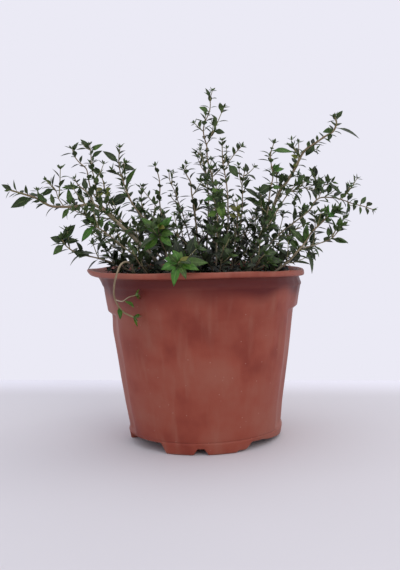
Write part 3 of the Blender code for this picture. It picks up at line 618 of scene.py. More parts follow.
@dataclass(frozen=True)
class ThymeLeaf:
    """A living thyme leaf: waxy above, downy and paler beneath, with a sunk midrib.

    It gives the eye a deep green with a soft waxy light on the upper face, a grey-green
    underside, and brighter, yellower growth at the tips of young shoots.
    """

    deep: str = "#1e2b12"
    green: str = "#3d571f"
    vivid: str = "#386a1a"
    olive: str = "#70702f"
    under: str = "#5c6c44"
    roughness: float = 0.45
    gland: float = 0.55

    def make(self) -> bpy.types.Material:
        """Build the material.

        Returns:
            The material.
        """
        made, tree, shader = new_material("living_thyme_leaf")
        place = add_node(tree, "ShaderNodeTexCoord").outputs["Object"]
        blade = split(tree, attribute(tree, "blade", "Vector"))
        hue = attribute(tree, "hue")
        # The shade attribute carries random tone and painted shade, darker low down and inside the plant.
        shade = attribute(tree, "shade")
        mottle = fractal(tree, place, 2.4, 3.0, 0.6)
        lean = calc(tree, "MULTIPLY_ADD", calc(tree, "SUBTRACT", mottle, 0.5), 0.22, hue, clamp=True)
        face = add_node(
            tree, "ShaderNodeValToRGB",
            {"stops": [(0.0, self.deep), (0.38, self.green), (0.7, self.vivid), (1.0, self.olive)]},
            {"Fac": lean},
        ).outputs[0]
        off_rib = calc(tree, "ABSOLUTE", blade.outputs["Y"])
        rib = remap(tree, off_rib, 0.1, 0.01, 0.0, 0.3, smooth=True)
        face = blend(tree, rib, face, "#8fa268")
        beneath = remap(tree, blade.outputs["Z"], 0.15, -0.35, 0.0, 0.72, smooth=True)
        blotch = remap(tree, mottle, 0.3, 0.7, 0.6, 1.35)
        cast = calc(tree, "MULTIPLY", shade, blotch)
        both = blend(tree, beneath, face, self.under)
        lit = shaded(tree, both, cast)
        tree.links.new(lit, shader.inputs["Base Color"])
        # The oil glands are pits of about 0.1 mm; they are drawn five times as coarse to show.
        glands = add_node(
            tree, "ShaderNodeTexVoronoi", None, {"Vector": place, "Scale": 1 / (self.gland * MM)},
        )
        height = calc(tree, "MULTIPLY_ADD", rib, -1.2, glands.outputs["Distance"])
        raise_bumps(tree, shader, height, 0.35, 0.25)
        gloss = remap(tree, beneath, 0.0, 0.72, self.roughness, 0.85)
        tree.links.new(gloss.outputs[0], shader.inputs["Roughness"])
        shader.inputs["Specular IOR Level"].default_value = 0.32
        shader.inputs["Subsurface Weight"].default_value = 0.06
        shader.inputs["Subsurface Radius"].default_value = (0.4, 1.0, 0.2)
        shader.inputs["Subsurface Scale"].default_value = 0.0006
        return made


@dataclass(frozen=True)
class PaintedBoard:
    """Matt emulsion paint on board, rolled on: even, pale and without gloss.

    It gives the eye a soft grey floor that grows lighter towards its far edge, where the edge
    stands at edge + slant * x millimetres.
    """

    name: str
    colour: str
    shadow: str
    far: str
    edge: float
    slant: float
    fade: float = 75.0

    def make(self) -> bpy.types.Material:
        """Build the material.

        Returns:
            The material.
        """
        made, tree, shader = new_material(self.name)
        place = add_node(tree, "ShaderNodeTexCoord").outputs["Object"]
        patches = fractal(tree, place, 180, 2.0)
        colour = blend(tree, patches, self.shadow, self.colour)
        spot = split(tree, place)
        back = calc(tree, "MULTIPLY_ADD", spot.outputs["X"], -self.slant, spot.outputs["Y"])
        faded = remap(tree, back, (self.edge - self.fade) * MM, self.edge * MM, smooth=True)
        colour = blend(tree, faded, colour, self.far)
        tree.links.new(colour, shader.inputs["Base Color"])
        shader.inputs["Roughness"].default_value = 0.8
        shader.inputs["Specular IOR Level"].default_value = 0.25
        return made


# ---------------------------------------------------------------- Geometry Nodes trees


def leaf_blades(rows: int, columns: int) -> bpy.types.NodeTree:
    """Build the tree that grows a leaf blade on each point of a mesh.

    Each point carries its leaf: "root" is where it grows, "way" the direction it starts in, "up"
    the way its upper face looks and "size" its length, width and curl. A blade is a closed body of
    an upper and a lower sheet that meet at the margin.

    Args:
        rows: Quads along a blade.
        columns: Quads across it.

    Returns:
        The tree.
    """
    tree, given, out = new_geometry_tree(
        "leaf_blades",
        {
            "Thickness": ("NodeSocketFloat", 0.34 * MM), "Fold": ("NodeSocketFloat", 0.42),
            "Roll": ("NodeSocketFloat", 0.24), "Finish": ("NodeSocketMaterial", None),
        },
    )
    sheet = add_node(
        tree, "GeometryNodeMeshGrid", None,
        {"Size X": 1.0, "Size Y": 2.0, "Vertices X": rows + 1, "Vertices Y": columns + 1},
    )
    spot = split(tree, add_node(tree, "GeometryNodeInputPosition"))
    along = calc(tree, "ADD", spot.outputs["X"], 0.5)
    # A short stalk, widest below the middle, and a pointed tip.
    outline = add_node(
        tree, "ShaderNodeFloatCurve",
        {
            "points": [
                (0.0, 0.07), (0.1, 0.15), (0.28, 0.74), (0.44, 1.0), (0.68, 0.78), (0.87, 0.36), (1.0, 0.0),
            ],
        },
        {"Factor": 1.0, "Value": along},
    )
    half = calc(tree, "MULTIPLY", spot.outputs["Y"], outline)
    inwards = calc(
        tree, "MULTIPLY_ADD", calc(tree, "MULTIPLY", spot.outputs["Y"], spot.outputs["Y"]), -1.0, 1.0,
    )
    swell = calc(tree, "MULTIPLY", inwards, calc(tree, "SINE", calc(tree, "MULTIPLY", along, math.pi)))
    sheets = []
    for side in (1.0, -1.0):
        marked = store(tree, sheet, "blade", join(tree, along, spot.outputs["Y"], side), "FLOAT_VECTOR")
        lifted = calc(tree, "MULTIPLY", swell, side)
        shaped = add_node(
            tree, "GeometryNodeSetPosition", None,
            {"Geometry": marked, "Position": join(tree, along, half, lifted)},
        )
        if side < 0:
            shaped = add_node(tree, "GeometryNodeFlipFaces", None, {"Mesh": shaped})
        sheets.append(shaped)
    both = add_node(tree, "GeometryNodeJoinGeometry")
    for shaped in sheets:
        tree.links.new(shaped.outputs[0], both.inputs[0])
    closed = add_node(tree, "GeometryNodeMergeByDistance", None, {"Geometry": both, "Distance": 0.0001})
    placed = add_node(
        tree, "GeometryNodeInstanceOnPoints", None,
        {"Points": given.outputs["Geometry"], "Instance": closed},
    )
    real = add_node(tree, "GeometryNodeRealizeInstances", None, {"Geometry": placed})
    read = {name: named(tree, name, "FLOAT_VECTOR") for name in ("root", "way", "up", "size", "blade")}
    size = split(tree, read["size"])
    share = split(tree, read["blade"])
    local = split(
        tree, vector_calc(tree, "SUBTRACT", add_node(tree, "GeometryNodeInputPosition"), read["root"]),
    )
    turn = calc(tree, "MULTIPLY", size.outputs["Z"], share.outputs["X"])
    bend = calc(tree, "DIVIDE", size.outputs["X"], size.outputs["Z"])
    ahead = calc(tree, "MULTIPLY", bend, calc(tree, "SINE", turn))
    drop = calc(tree, "MULTIPLY", bend, calc(tree, "SUBTRACT", calc(tree, "COSINE", turn), 1.0))
    across = calc(tree, "MULTIPLY", local.outputs["Y"], calc(tree, "MULTIPLY", size.outputs["Y"], 0.5))
    out_to = calc(tree, "ABSOLUTE", share.outputs["Y"])
    rolled = calc(
        tree, "SUBTRACT", given.outputs["Fold"],
        calc(tree, "MULTIPLY", given.outputs["Roll"], calc(tree, "POWER", out_to, 3.0)),
    )
    folded = calc(tree, "MULTIPLY_ADD", calc(tree, "ABSOLUTE", across), rolled, drop)
    lift = calc(
        tree, "MULTIPLY_ADD", local.outputs["Z"], calc(tree, "MULTIPLY", given.outputs["Thickness"], 0.5),
        folded,
    )
    side_way = vector_calc(tree, "CROSS_PRODUCT", read["up"], read["way"])
    where = read["root"]
    for way, reach in ((read["way"], ahead), (side_way, across), (read["up"], lift)):
        step = vector_calc(tree, "SCALE", way, scale=reach)
        where = vector_calc(tree, "ADD", where, step)
    grown = add_node(tree, "GeometryNodeSetPosition", None, {"Geometry": real, "Position": where})
    smooth = add_node(tree, "GeometryNodeSetShadeSmooth", None, {"Geometry": grown, "Shade Smooth": True})
    margin = calc(tree, "GREATER_THAN", out_to, 0.99)
    edged = store(tree, smooth, "sharp_edge", margin, "BOOLEAN", "EDGE")
    dress(tree, edged, given, out)
    return tree


def bark_tubes() -> bpy.types.NodeTree:
    """Build the tree that turns each line of a mesh into a round, tapering, fibrous stem.

    Each point of a line carries its "girth", the stem's radius in metres, and its "age".

    Returns:
        The tree.
    """
    tree, given, out = new_geometry_tree(
        "bark_tubes",
        {
            "Sides": ("NodeSocketInt", 8), "Knobbly": ("NodeSocketFloat", 0.22),
            "Lump": ("NodeSocketFloat", 2.2 * MM), "Finish": ("NodeSocketMaterial", None),
        },
    )
    line = add_node(tree, "GeometryNodeMeshToCurve", None, {"Mesh": given.outputs["Geometry"]})
    line = store(tree, line, "reach", add_node(tree, "GeometryNodeSplineParameter").outputs["Length"])
    hoop = add_node(
        tree, "GeometryNodeCurvePrimitiveCircle", None,
        {"Resolution": given.outputs["Sides"], "Radius": 1.0},
    )
    hoop = store(
        tree, hoop, "turn",
        calc(
            tree, "MULTIPLY", add_node(tree, "GeometryNodeSplineParameter").outputs["Factor"], 2 * math.pi,
        ),
    )
    girth = named(tree, "girth")
    tube = add_node(
        tree, "GeometryNodeCurveToMesh", None,
        {"Curve": line, "Profile Curve": hoop, "Scale": girth, "Fill Caps": True},
    )
    turn = named(tree, "turn")
    reach = named(tree, "reach")
    round_way = join(tree, calc(tree, "COSINE", turn), calc(tree, "SINE", turn))
    # Fibres run eight times as long as they are wide.
    grain = vector_calc(
        tree, "ADD", vector_calc(tree, "SCALE", round_way, scale=girth),
        join(tree, 0.0, 0.0, calc(tree, "MULTIPLY", reach, 0.125)),
    )
    marked = store(tree, tube, "grain", grain, "FLOAT_VECTOR")
    lumps = add_node(
        tree, "ShaderNodeTexNoise", None,
        {
            "Vector": add_node(tree, "GeometryNodeInputPosition"),
            "Scale": calc(tree, "DIVIDE", 1.0, given.outputs["Lump"]), "Detail": 1.0,
        },
    )
    swell = calc(
        tree, "MULTIPLY", calc(tree, "SUBTRACT", lumps, 0.5),
        calc(tree, "MULTIPLY", girth, given.outputs["Knobbly"]),
    )
    rough = add_node(
        tree, "GeometryNodeSetPosition", None,
        {
            "Geometry": marked,
            "Offset": vector_calc(tree, "SCALE", add_node(tree, "GeometryNodeInputNormal"), scale=swell),
        },
    )
    smooth = add_node(tree, "GeometryNodeSetShadeSmooth", None, {"Geometry": rough, "Shade Smooth": True})
    real = add_node(tree, "GeometryNodeRealizeInstances", None, {"Geometry": smooth})
    dress(tree, real, given, out)
    return tree


def loose_crumbs() -> bpy.types.NodeTree:
    """Build the tree that strews crumbs of peat and bark over the upward faces of a mesh.

    Returns:
        The tree.
    """
    tree, given, out = new_geometry_tree(
        "loose_crumbs",
        {
            "Density": ("NodeSocketFloat", 100000.0), "Smallest": ("NodeSocketFloat", 0.5 * MM),
            "Largest": ("NodeSocketFloat", 1.7 * MM), "Reach": ("NodeSocketFloat", 60 * MM),
            "Seed": ("NodeSocketInt", 4), "Finish": ("NodeSocketMaterial", None),
        },
    )
    spot = split(tree, add_node(tree, "GeometryNodeInputPosition"))
    flat = join(tree, spot.outputs["X"], spot.outputs["Y"])
    near = calc(
        tree, "LESS_THAN", vector_calc(tree, "LENGTH", flat).outputs["Value"], given.outputs["Reach"],
    )
    level = calc(
        tree, "GREATER_THAN", split(tree, add_node(tree, "GeometryNodeInputNormal")).outputs["Z"], 0.4,
    )
    chosen = calc(tree, "MULTIPLY", near, level)
    strewn = add_node(
        tree, "GeometryNodeDistributePointsOnFaces", {"distribute_method": "RANDOM"},
        {
            "Mesh": given.outputs["Geometry"], "Selection": chosen, "Density": given.outputs["Density"],
            "Seed": given.outputs["Seed"],
        },
    )
    size = add_node(
        tree, "FunctionNodeRandomValue", {"data_type": "FLOAT"},
        {2: given.outputs["Smallest"], 3: given.outputs["Largest"], "Seed": 11},
    )
    stretch = add_node(
        tree, "FunctionNodeRandomValue", {"data_type": "FLOAT_VECTOR"},
        {0: (0.6, 0.6, 0.4), 1: (1.3, 1.0, 0.9), "Seed": 12},
    )
    spin = add_node(
        tree, "FunctionNodeRandomValue", {"data_type": "FLOAT_VECTOR"},
        {0: (0.0, 0.0, 0.0), 1: (6.28, 6.28, 6.28), "Seed": 13},
    )
    crumb = add_node(tree, "GeometryNodeMeshIcoSphere", None, {"Radius": 1.0, "Subdivisions": 1})
    placed = add_node(
        tree, "GeometryNodeInstanceOnPoints", None,
        {
            "Points": strewn, "Instance": crumb,
            "Rotation": add_node(tree, "FunctionNodeEulerToRotation", None, {0: spin}),
            "Scale": vector_calc(tree, "SCALE", stretch, scale=size.outputs[1]),
        },
    )
    real = add_node(tree, "GeometryNodeRealizeInstances", None, {"Geometry": placed})
    lumps = fractal(tree, add_node(tree, "GeometryNodeInputPosition"), 1.1, 1.0)
    broken = add_node(
        tree, "GeometryNodeSetPosition", None,
        {
            "Geometry": real,
            "Offset": vector_calc(
                tree, "SCALE", add_node(tree, "GeometryNodeInputNormal"),
                scale=calc(tree, "MULTIPLY_ADD", lumps, 1.2 * MM, -0.6 * MM),
            ),
        },
    )
    dress(tree, broken, given, out)
    return tree


# ---------------------------------------------------------------- pot


@dataclass
class Pot:
    """The thin nursery pot: feet with arches and notches, fluted sides, collar and rolled lip.

    feet is the height of the foot's lower edge by angle in degrees, and sag how far the lip has
    sunk on the right.
    """

    height: float = 118.5
    rim_radius: float = 73.5
    neck_radius: float = 69.2
    rim_depth: float = 5.0
    base_radius: float = 52.4
    wall: float = 1.3
    shoulder: float = 88.0
    shoulder_step: float = 3.0
    shoulder_radius: float = 65.9
    collar_radius: float = 66.4
    collar_slope: float = 0.13
    foot_height: float = 7.6
    foot_width: float = 6.0
    floor: float = 2.2
    panel_half: float = math.radians(31)
    panel_edge: float = math.radians(5)
    flute_angle: float = math.radians(20)
    flute_depth: float = 0.7
    panel_depth: float = 1.2
    panel_taper: float = 1.2
    bend_at: float = math.radians(187)
    bend_width: float = math.radians(13)
    bend_out: float = 4.5
    bend_up: float = 0.8
    lip_wave: float = 0.25
    lip_warp: float = 0.3
    sag: float = 4.0
    sag_levels: tuple[float, float] = (92, 114)
    sag_in: float = 2.5
    sag_in_from: float = 106.5
    squeeze: float = 2.2
    squeeze_levels: tuple[float, float] = (74, 92)
    squeeze_ends: tuple[float, float] = (106, 114)
    feet: tuple[tuple[float, float], ...] = (
        (0, 0), (58, 0), (62, 6.6), (113, 6.6), (117, 0), (183, 0), (187, 6.6), (235.8, 6.6),
        (240, 0), (292, 0), (293.5, 0.9), (300, 1.1), (304.8, 5.2), (316, 5.0), (320, 4.1),
        (330, 3.1), (340, 2.3), (360, 0),
    )
    notches: int = 3
    notch_middle: float = math.radians(266)
    notch_half: float = 5.3
    notch: float = 3.9
    drain: float = 4.0
    drain_circle: float = 33.0
    dent: float = 0.45
    dent_size: float = 42.0

    def cone(self, z: float) -> float:
        """Read the plain wall's outer radius.

        Args:
            z: The height.

        Returns:
            The radius.
        """
        if z <= self.shoulder:
            return self.base_radius + (self.shoulder_radius - self.base_radius) * z / self.shoulder
        return self.collar_radius + (z - self.shoulder - self.shoulder_step) * self.collar_slope

    def recess(self, angle: float, z: float) -> float:
        """Read how far the fluted side panels lie inside the wall.

        Args:
            angle: The angle about the axis.
            z: The height.

        Returns:
            The depth.
        """
        left = abs(math.remainder(angle - math.pi, 2 * math.pi))
        from_side = min(abs(math.remainder(angle, 2 * math.pi)), left)
        inside = 1 - smooth_step(from_side, self.panel_half - self.panel_edge, self.panel_half)
        flute = 0.5 + 0.5 * math.cos(2 * math.pi * from_side / self.flute_angle)
        below = 1 - smooth_step(z, self.shoulder, self.shoulder + self.shoulder_step)
        above = smooth_step(z, self.foot_height, self.foot_height + 3)
        deep = self.panel_depth + self.panel_taper * z / self.shoulder
        return inside * below * above * (deep + self.flute_depth * flute)

    def foot_line(self, angle: float) -> float:
        """Read the height of the foot's lower edge, which the arches and the notches lift.

        Args:
            angle: The angle about the axis.

        Returns:
            The height.
        """
        turn = math.degrees(angle) % 360
        edge = 0.0
        for (a, low), (b, high) in zip(self.feet, self.feet[1:]):
            if a <= turn <= b:
                edge = low + (high - low) * (turn - a) / (b - a)
        apart = 2 * math.pi / self.notches
        aside = abs(math.remainder(angle - self.notch_middle, apart)) * self.base_radius
        return max(edge, self.notch * (1 - smooth_step(aside, self.notch_half * 0.35, self.notch_half)))

    def wobble(self, angle: float, z: float) -> float:
        """Read the wall's shallow dents.

        Args:
            angle: The angle about the axis.
            z: The height.

        Returns:
            How far the wall stands out.
        """
        place = Vector((math.cos(angle) * 60, math.sin(angle) * 60, z)) / self.dent_size
        firm = smooth_step(z, self.foot_height, 30) * (1 - smooth_step(z, 104, 112))
        return self.dent * noise.noise(place) * 2 * firm

    def pressed(self, z: float, angle: float) -> float:
        """Read how far the collar is pressed in on the left, at a height and an angle."""
        left = max(-math.cos(angle), 0.0) ** 2
        return self.squeeze * left * smooth_step(z, *self.squeeze_levels)

    def point(self, radius: float, z: float, angle: float) -> Vector:
        """Place a point of the section at an angle, with panels, dents, feet and the bent corner.

        Args:
            radius: The section's radius there.
            z: The section's height there.
            angle: The angle about the axis.

        Returns:
            The place in millimetres.
        """
        radius += self.wobble(angle, z) - self.recess(angle, z)
        turn = math.remainder(angle - self.bend_at, 2 * math.pi) / self.bend_width
        bend = math.exp(-turn * turn) * smooth_step(z, self.height - self.rim_depth - 2, self.height)
        high = smooth_step(z, self.height - self.rim_depth, self.height)
        radius += self.bend_out * bend + self.lip_wave * high * math.sin(5 * angle + 1)
        warp = self.lip_warp * high * math.sin(3 * angle + 0.4) * math.cos(7 * angle)
        up = z + self.bend_up * bend + warp
        radius -= self.pressed(z, angle) * (1 - smooth_step(z, *self.squeeze_ends))
        right = max(math.cos(angle), 0.0) ** 2
        radius -= self.sag_in * right * smooth_step(z, self.sag_in_from, self.height)
        up -= self.sag * right * smooth_step(z, *self.sag_levels)
        if z < self.foot_height:
            low = self.foot_line(angle)
            up = low + z * (self.foot_height - low) / self.foot_height
        return Vector((radius * math.cos(angle), radius * math.sin(angle), up))

    def section(self) -> list[Point]:
        """Lay out the pot's section, from the foot up the outside, over the lip and down inside.

        Returns:
            The section as (radius, height, wear) points.
        """
        neck = self.height - self.rim_depth
        base = self.base_radius
        rim = self.rim_radius
        outside = [
            (base - 0.9, 0.0, 0.6), (base - 0.35, 0.25, 0.6), (base, 0.9, 0.4), (base + 0.2, 2.0, 0.1),
            (base + 0.45, 3.6, 0.0), (base + 0.7, 5.2, 0.0), (base + 0.95, 6.6, 0.0),
            (base + 1.0, 7.2, 0.1), (base + 0.85, 7.6, 0.0), (base + 0.75, 8.0, 0.0),
            (self.cone(8.6) - 0.1, 8.6, 0.0), (self.cone(9.4), 9.4, 0.0),
        ]
        outside += [(self.cone(z), z, 0.0) for z in (10.6, 12.5)]
        outside += [(self.cone(15 + 2.6 * i), 15 + 2.6 * i, 0.0) for i in range(28)]
        outside += [(self.cone(z), z, 0.0) for z in (87, 88, 88.8, 89.6, 90.4, 91, 92.5, 96, 100, 104, 106)]
        outside += [
            (self.cone(107) + 0.15, 107.0, 0.0), (self.neck_radius - 0.15, 108.0, 0.1),
            (self.neck_radius + 0.1, 109.0, 0.05), (self.neck_radius, 110.2, 0.0),
            (self.neck_radius, neck, 0.0), (self.neck_radius + 0.4, neck + 0.6, 0.0),
            (self.neck_radius + 1.5, neck + 0.9, 0.0), (rim - 1.2, neck + 1.1, 0.0),
            (rim - 0.5, neck + 1.4, 0.1), (rim - 0.15, neck + 1.9, 0.3), (rim, neck + 2.6, 0.4),
            (rim, self.height - 1.2, 0.5), (rim - 0.2, self.height - 0.5, 0.7),
            (rim - 0.6, self.height - 0.12, 0.9), (rim - 1.1, self.height, 1.0),
        ]
        wall = self.wall
        inside = [
            (rim - 1.9, self.height - 0.05, 1.0), (rim - 2.8, self.height - 0.5, 0.7),
            (rim - 3.5, self.height - 1.3, 0.4), (self.neck_radius - wall + 0.5, neck + 1.8, 0.2),
            (self.neck_radius - wall, neck + 1.2, 0.1), (self.neck_radius - wall, neck - 1.0, 0.1),
            (self.cone(106) - wall, 106.0, 0.1), (self.cone(98) - wall, 98.0, 0.0),
            (self.collar_radius - wall, 91.0, 0.0), (self.cone(88) - wall, 88.0, 0.0),
        ]
        inside += [(self.cone(82 - 8 * i) - wall, 82 - 8.0 * i, 0.0) for i in range(9)]
        inner_floor = self.foot_height + self.floor
        inside += [
            (self.cone(inner_floor + 2) - wall, inner_floor + 2, 0.0),
            (self.cone(inner_floor) - wall - 0.5, inner_floor + 0.6, 0.0),
            (self.cone(inner_floor) - wall - 1.4, inner_floor, 0.0),
        ]
        return outside + inside

    def angles(self) -> list[float]:
        """List the angles of the pot's uprights, which stand closer at the notches.

        Returns:
            The angles in order.
        """
        found = set()
        found.update(turn % 360 for turn, _ in self.feet)
        for third in range(self.notches):
            found.update(round(120 * third + 1.5 * i, 3) for i in range(80))
            middle = 120 * third + math.degrees(self.notch_middle)
            found.update(round((middle + 0.4 * i) % 360, 3) for i in range(-16, 17))
        return [math.radians(a) for a in sorted(found)]

    def shell(self) -> bpy.types.Mesh:
        """Build the pot as one closed shell, without its drain holes.

        Returns:
            The mesh in metres, with the wear of its edges and painted sheen on the flute crests as one
            attribute, and painted shade under the lip as another.
        """
        bm = bmesh.new()
        wear = bm.verts.layers.float.new("wear")
        stain = bm.verts.layers.float.new("stain")
        angles = self.angles()
        neck = self.height - self.rim_depth
        foot = self.base_radius - self.foot_width
        loop = [(foot - 0.6, self.foot_height, 0.0), (foot - 0.3, self.foot_height - 0.8, 0.0),
                (foot, 1.0, 0.2), (foot + 0.4, 0.2, 0.4), (foot + 1.0, 0.0, 0.5), *self.section()]
        rings = []
        for radius, z, worn in loop:
            ring = []
            for angle in angles:
                vert = bm.verts.new(self.point(radius, z, angle) * MM)
                turn = math.remainder(angle - self.bend_at, 2 * math.pi) / (self.bend_width * 1.1)
                bend = math.exp(-turn * turn) * smooth_step(z, 110, 114)
                flute = self.recess(angle, z) / (self.panel_depth + self.panel_taper + self.flute_depth)
                # Painted sheen: the flute crests are made paler.
                painted_crest_sheen = 0.35 * smooth_step(1 - flute, 0.15, 0.35) * (flute > 0.05)
                vert[wear] = max(worn, 1.3 * bend, painted_crest_sheen)
                # Painted shade: darkest in the band under the lip, fainter down the upper wall.
                cloud = noise.noise(Vector((math.cos(angle) * 2.2, math.sin(angle) * 2.2, z / 34)))
                band = 1.25 * smooth_step(z + 12 * cloud, 96, 109) * (1 - smooth_step(z, neck, neck + 2.5))
                vert[stain] = band + 0.2 * smooth_step(z + 40 * cloud, 66, 96) * (z < neck)
                ring.append(vert)
            rings.append(ring)
        bridge(bm, rings)
        bm.faces.new(rings[-1])
        bm.faces.new(list(reversed(rings[0])))
        return to_mesh(bm, "pot_shell")

    def drains(self) -> bpy.types.Object:
        """Build the cutters of the drain holes.

        Returns:
            One object that holds all four.
        """
        bm = bmesh.new()
        for quarter in range(4):
            turn = Matrix.Rotation(math.radians(45 + 90 * quarter), 4, "Z")
            stand = Matrix.Translation((self.drain_circle * MM, 0, (self.foot_height + 1) * MM))
            bmesh.ops.create_cone(
                bm, cap_ends=True, segments=40, radius1=self.drain * MM, radius2=self.drain * MM,
                depth=8 * MM, matrix=turn @ stand,
            )
        return new_object("drain_cutters", to_mesh(bm, "drain_cutters"))

    def build(self) -> bpy.types.Object:
        """Build and dress the pot.

        Returns:
            The pot's object.
        """
        pot = new_object("pot_shell", self.shell())
        cutters = self.drains()
        cut = pot.modifiers.new("drains", "BOOLEAN")
        cut.operation = "DIFFERENCE"
        cut.solver = "EXACT"
        cut.object = cutters
        keep_shape(pot)
        mesh = pot.data
        bpy.data.objects.remove(cutters, do_unlink=True)
        mesh.materials.clear()
        mesh.materials.append(MouldedPolypropylene().make())
        mesh.shade_smooth()
        mesh.set_sharp_from_angle(angle=math.radians(42))
        hand_over(pot, Slot.POT, "pot")
        return pot


# ---------------------------------------------------------------- potting mix


@dataclass
class PottingMix:
    """The peat mix that fills the pot, lumpy on top, with loose crumbs over it."""

    pot: Pot
    level: float = 101.0
    crown: float = 2.5
    lump: float = 0.8
    spread: float = 66.0
    clear: float = 0.75
    segments: int = 120
    rings: int = 30

    def top(self, x: float, y: float) -> float:
        """Read the height of the mix's top.

        Args:
            x: The place across.
            y: The place back.

        Returns:
            The height.
        """
        across = math.hypot(x, y) / self.spread
        lumps = math.sin(x * 0.21 + 1.0) * math.cos(y * 0.17) + 0.6 * math.sin(x * 0.09 - y * 0.26)
        return self.level + self.crown * (1 - across**2) + self.lump * lumps

    def side(self, z: float, angle: float) -> float:
        """Read the radius of the mix's side, just clear of the pot's wall.

        Args:
            z: The height.
            angle: The angle about the axis.

        Returns:
            The radius.
        """
        wall = self.pot.cone(z) + self.pot.wobble(angle, z) - self.pot.recess(angle, z)
        return wall - self.pot.pressed(z, angle) - self.pot.wall - self.clear

    def body(self) -> bpy.types.Mesh:
        """Build the mix as one closed body.

        Returns:
            The mesh in metres.
        """
        bm = bmesh.new()
        turns = [2 * math.pi * i / self.segments for i in range(self.segments)]
        low = self.pot.foot_height + self.pot.floor + 0.3
        levels = [low, low + 2, 20, 32, 44, 56, 68, 78, 86, 88, 91, 96]
        rings = []
        for z in levels:
            shrink = 1.6 if z == low else 0.0
            rings.append([
                bm.verts.new(Vector((
                    (self.side(z, a) - shrink) * math.cos(a), (self.side(z, a) - shrink) * math.sin(a), z
                )) * MM) for a in turns
            ])
        for step in range(self.rings):
            share = 1 - step / self.rings
            ring = []
            for a in turns:
                radius = self.side(self.level, a) * share
                x, y = radius * math.cos(a), radius * math.sin(a)
                rough = noise.fractal(Vector((x, y, 0)) / 5.0, 1.0, 2.0, 4)
                ring.append(bm.verts.new(Vector((x, y, self.top(x, y) + 0.7 * rough - 0.3)) * MM))
            rings.append(ring)
        bridge(bm, rings)
        bm.faces.new(list(reversed(rings[0])))
        middle = bm.verts.new((0, 0, self.top(0, 0) * MM))
        for i in range(self.segments):
            bm.faces.new((rings[-1][i], rings[-1][(i + 1) % self.segments], middle))
        mesh = to_mesh(bm, "peat_body")
        mesh.shade_smooth()
        return mesh

    def build(self) -> None:
        """Build and dress the body of the mix and the crumbs on it."""
        finish = PeatMix().make()
        mesh = self.body()
        mesh.materials.append(finish)
        body = new_object("peat_body", mesh)
        crumbs = new_object("peat_crumbs", mesh.copy())
        shape_with(
            crumbs, loose_crumbs(),
            {
                "Density": 190000.0, "Smallest": 0.45 * MM, "Largest": 1.5 * MM, "Reach": 62 * MM,
                "Finish": finish,
            },
        )
        hand_over(body, Slot.MIX, "potting_mix")
        hand_over(crumbs, Slot.MIX)


# ---------------------------------------------------------------- plant


@dataclass(frozen=True)
class Blade:
    """One large leaf: where it grows as a share of its stem, its tip, and how wide it looks."""

    share: float
    tip: Point
    width: float
    tone: Tone = Tone.DEEP


@dataclass(frozen=True)
class Sprig:
    """A stem or side shoot: its route, its radius at both ends and the leaves that it carries.

    bare is the share of its length below the first pair, leaf the first and the last pair's
    length, pace the distance between pairs and tuft how many small leaves fill each axil. twigs is
    the chance that an axil grows a leafy twig, and twig that twig's greatest length.
    """

    route: tuple[Point, ...]
    radius: tuple[float, float]
    bare: float
    leaf: tuple[float, float]
    blades: tuple[Blade, ...] = ()
    shoots: tuple["Sprig", ...] = ()
    tone: Tone = Tone.DEEP
    pace: float = 6.5
    tuft: float = 0.2
    wood: float = 0.9
    twigs: float = 0.34
    twig: float = 19.0


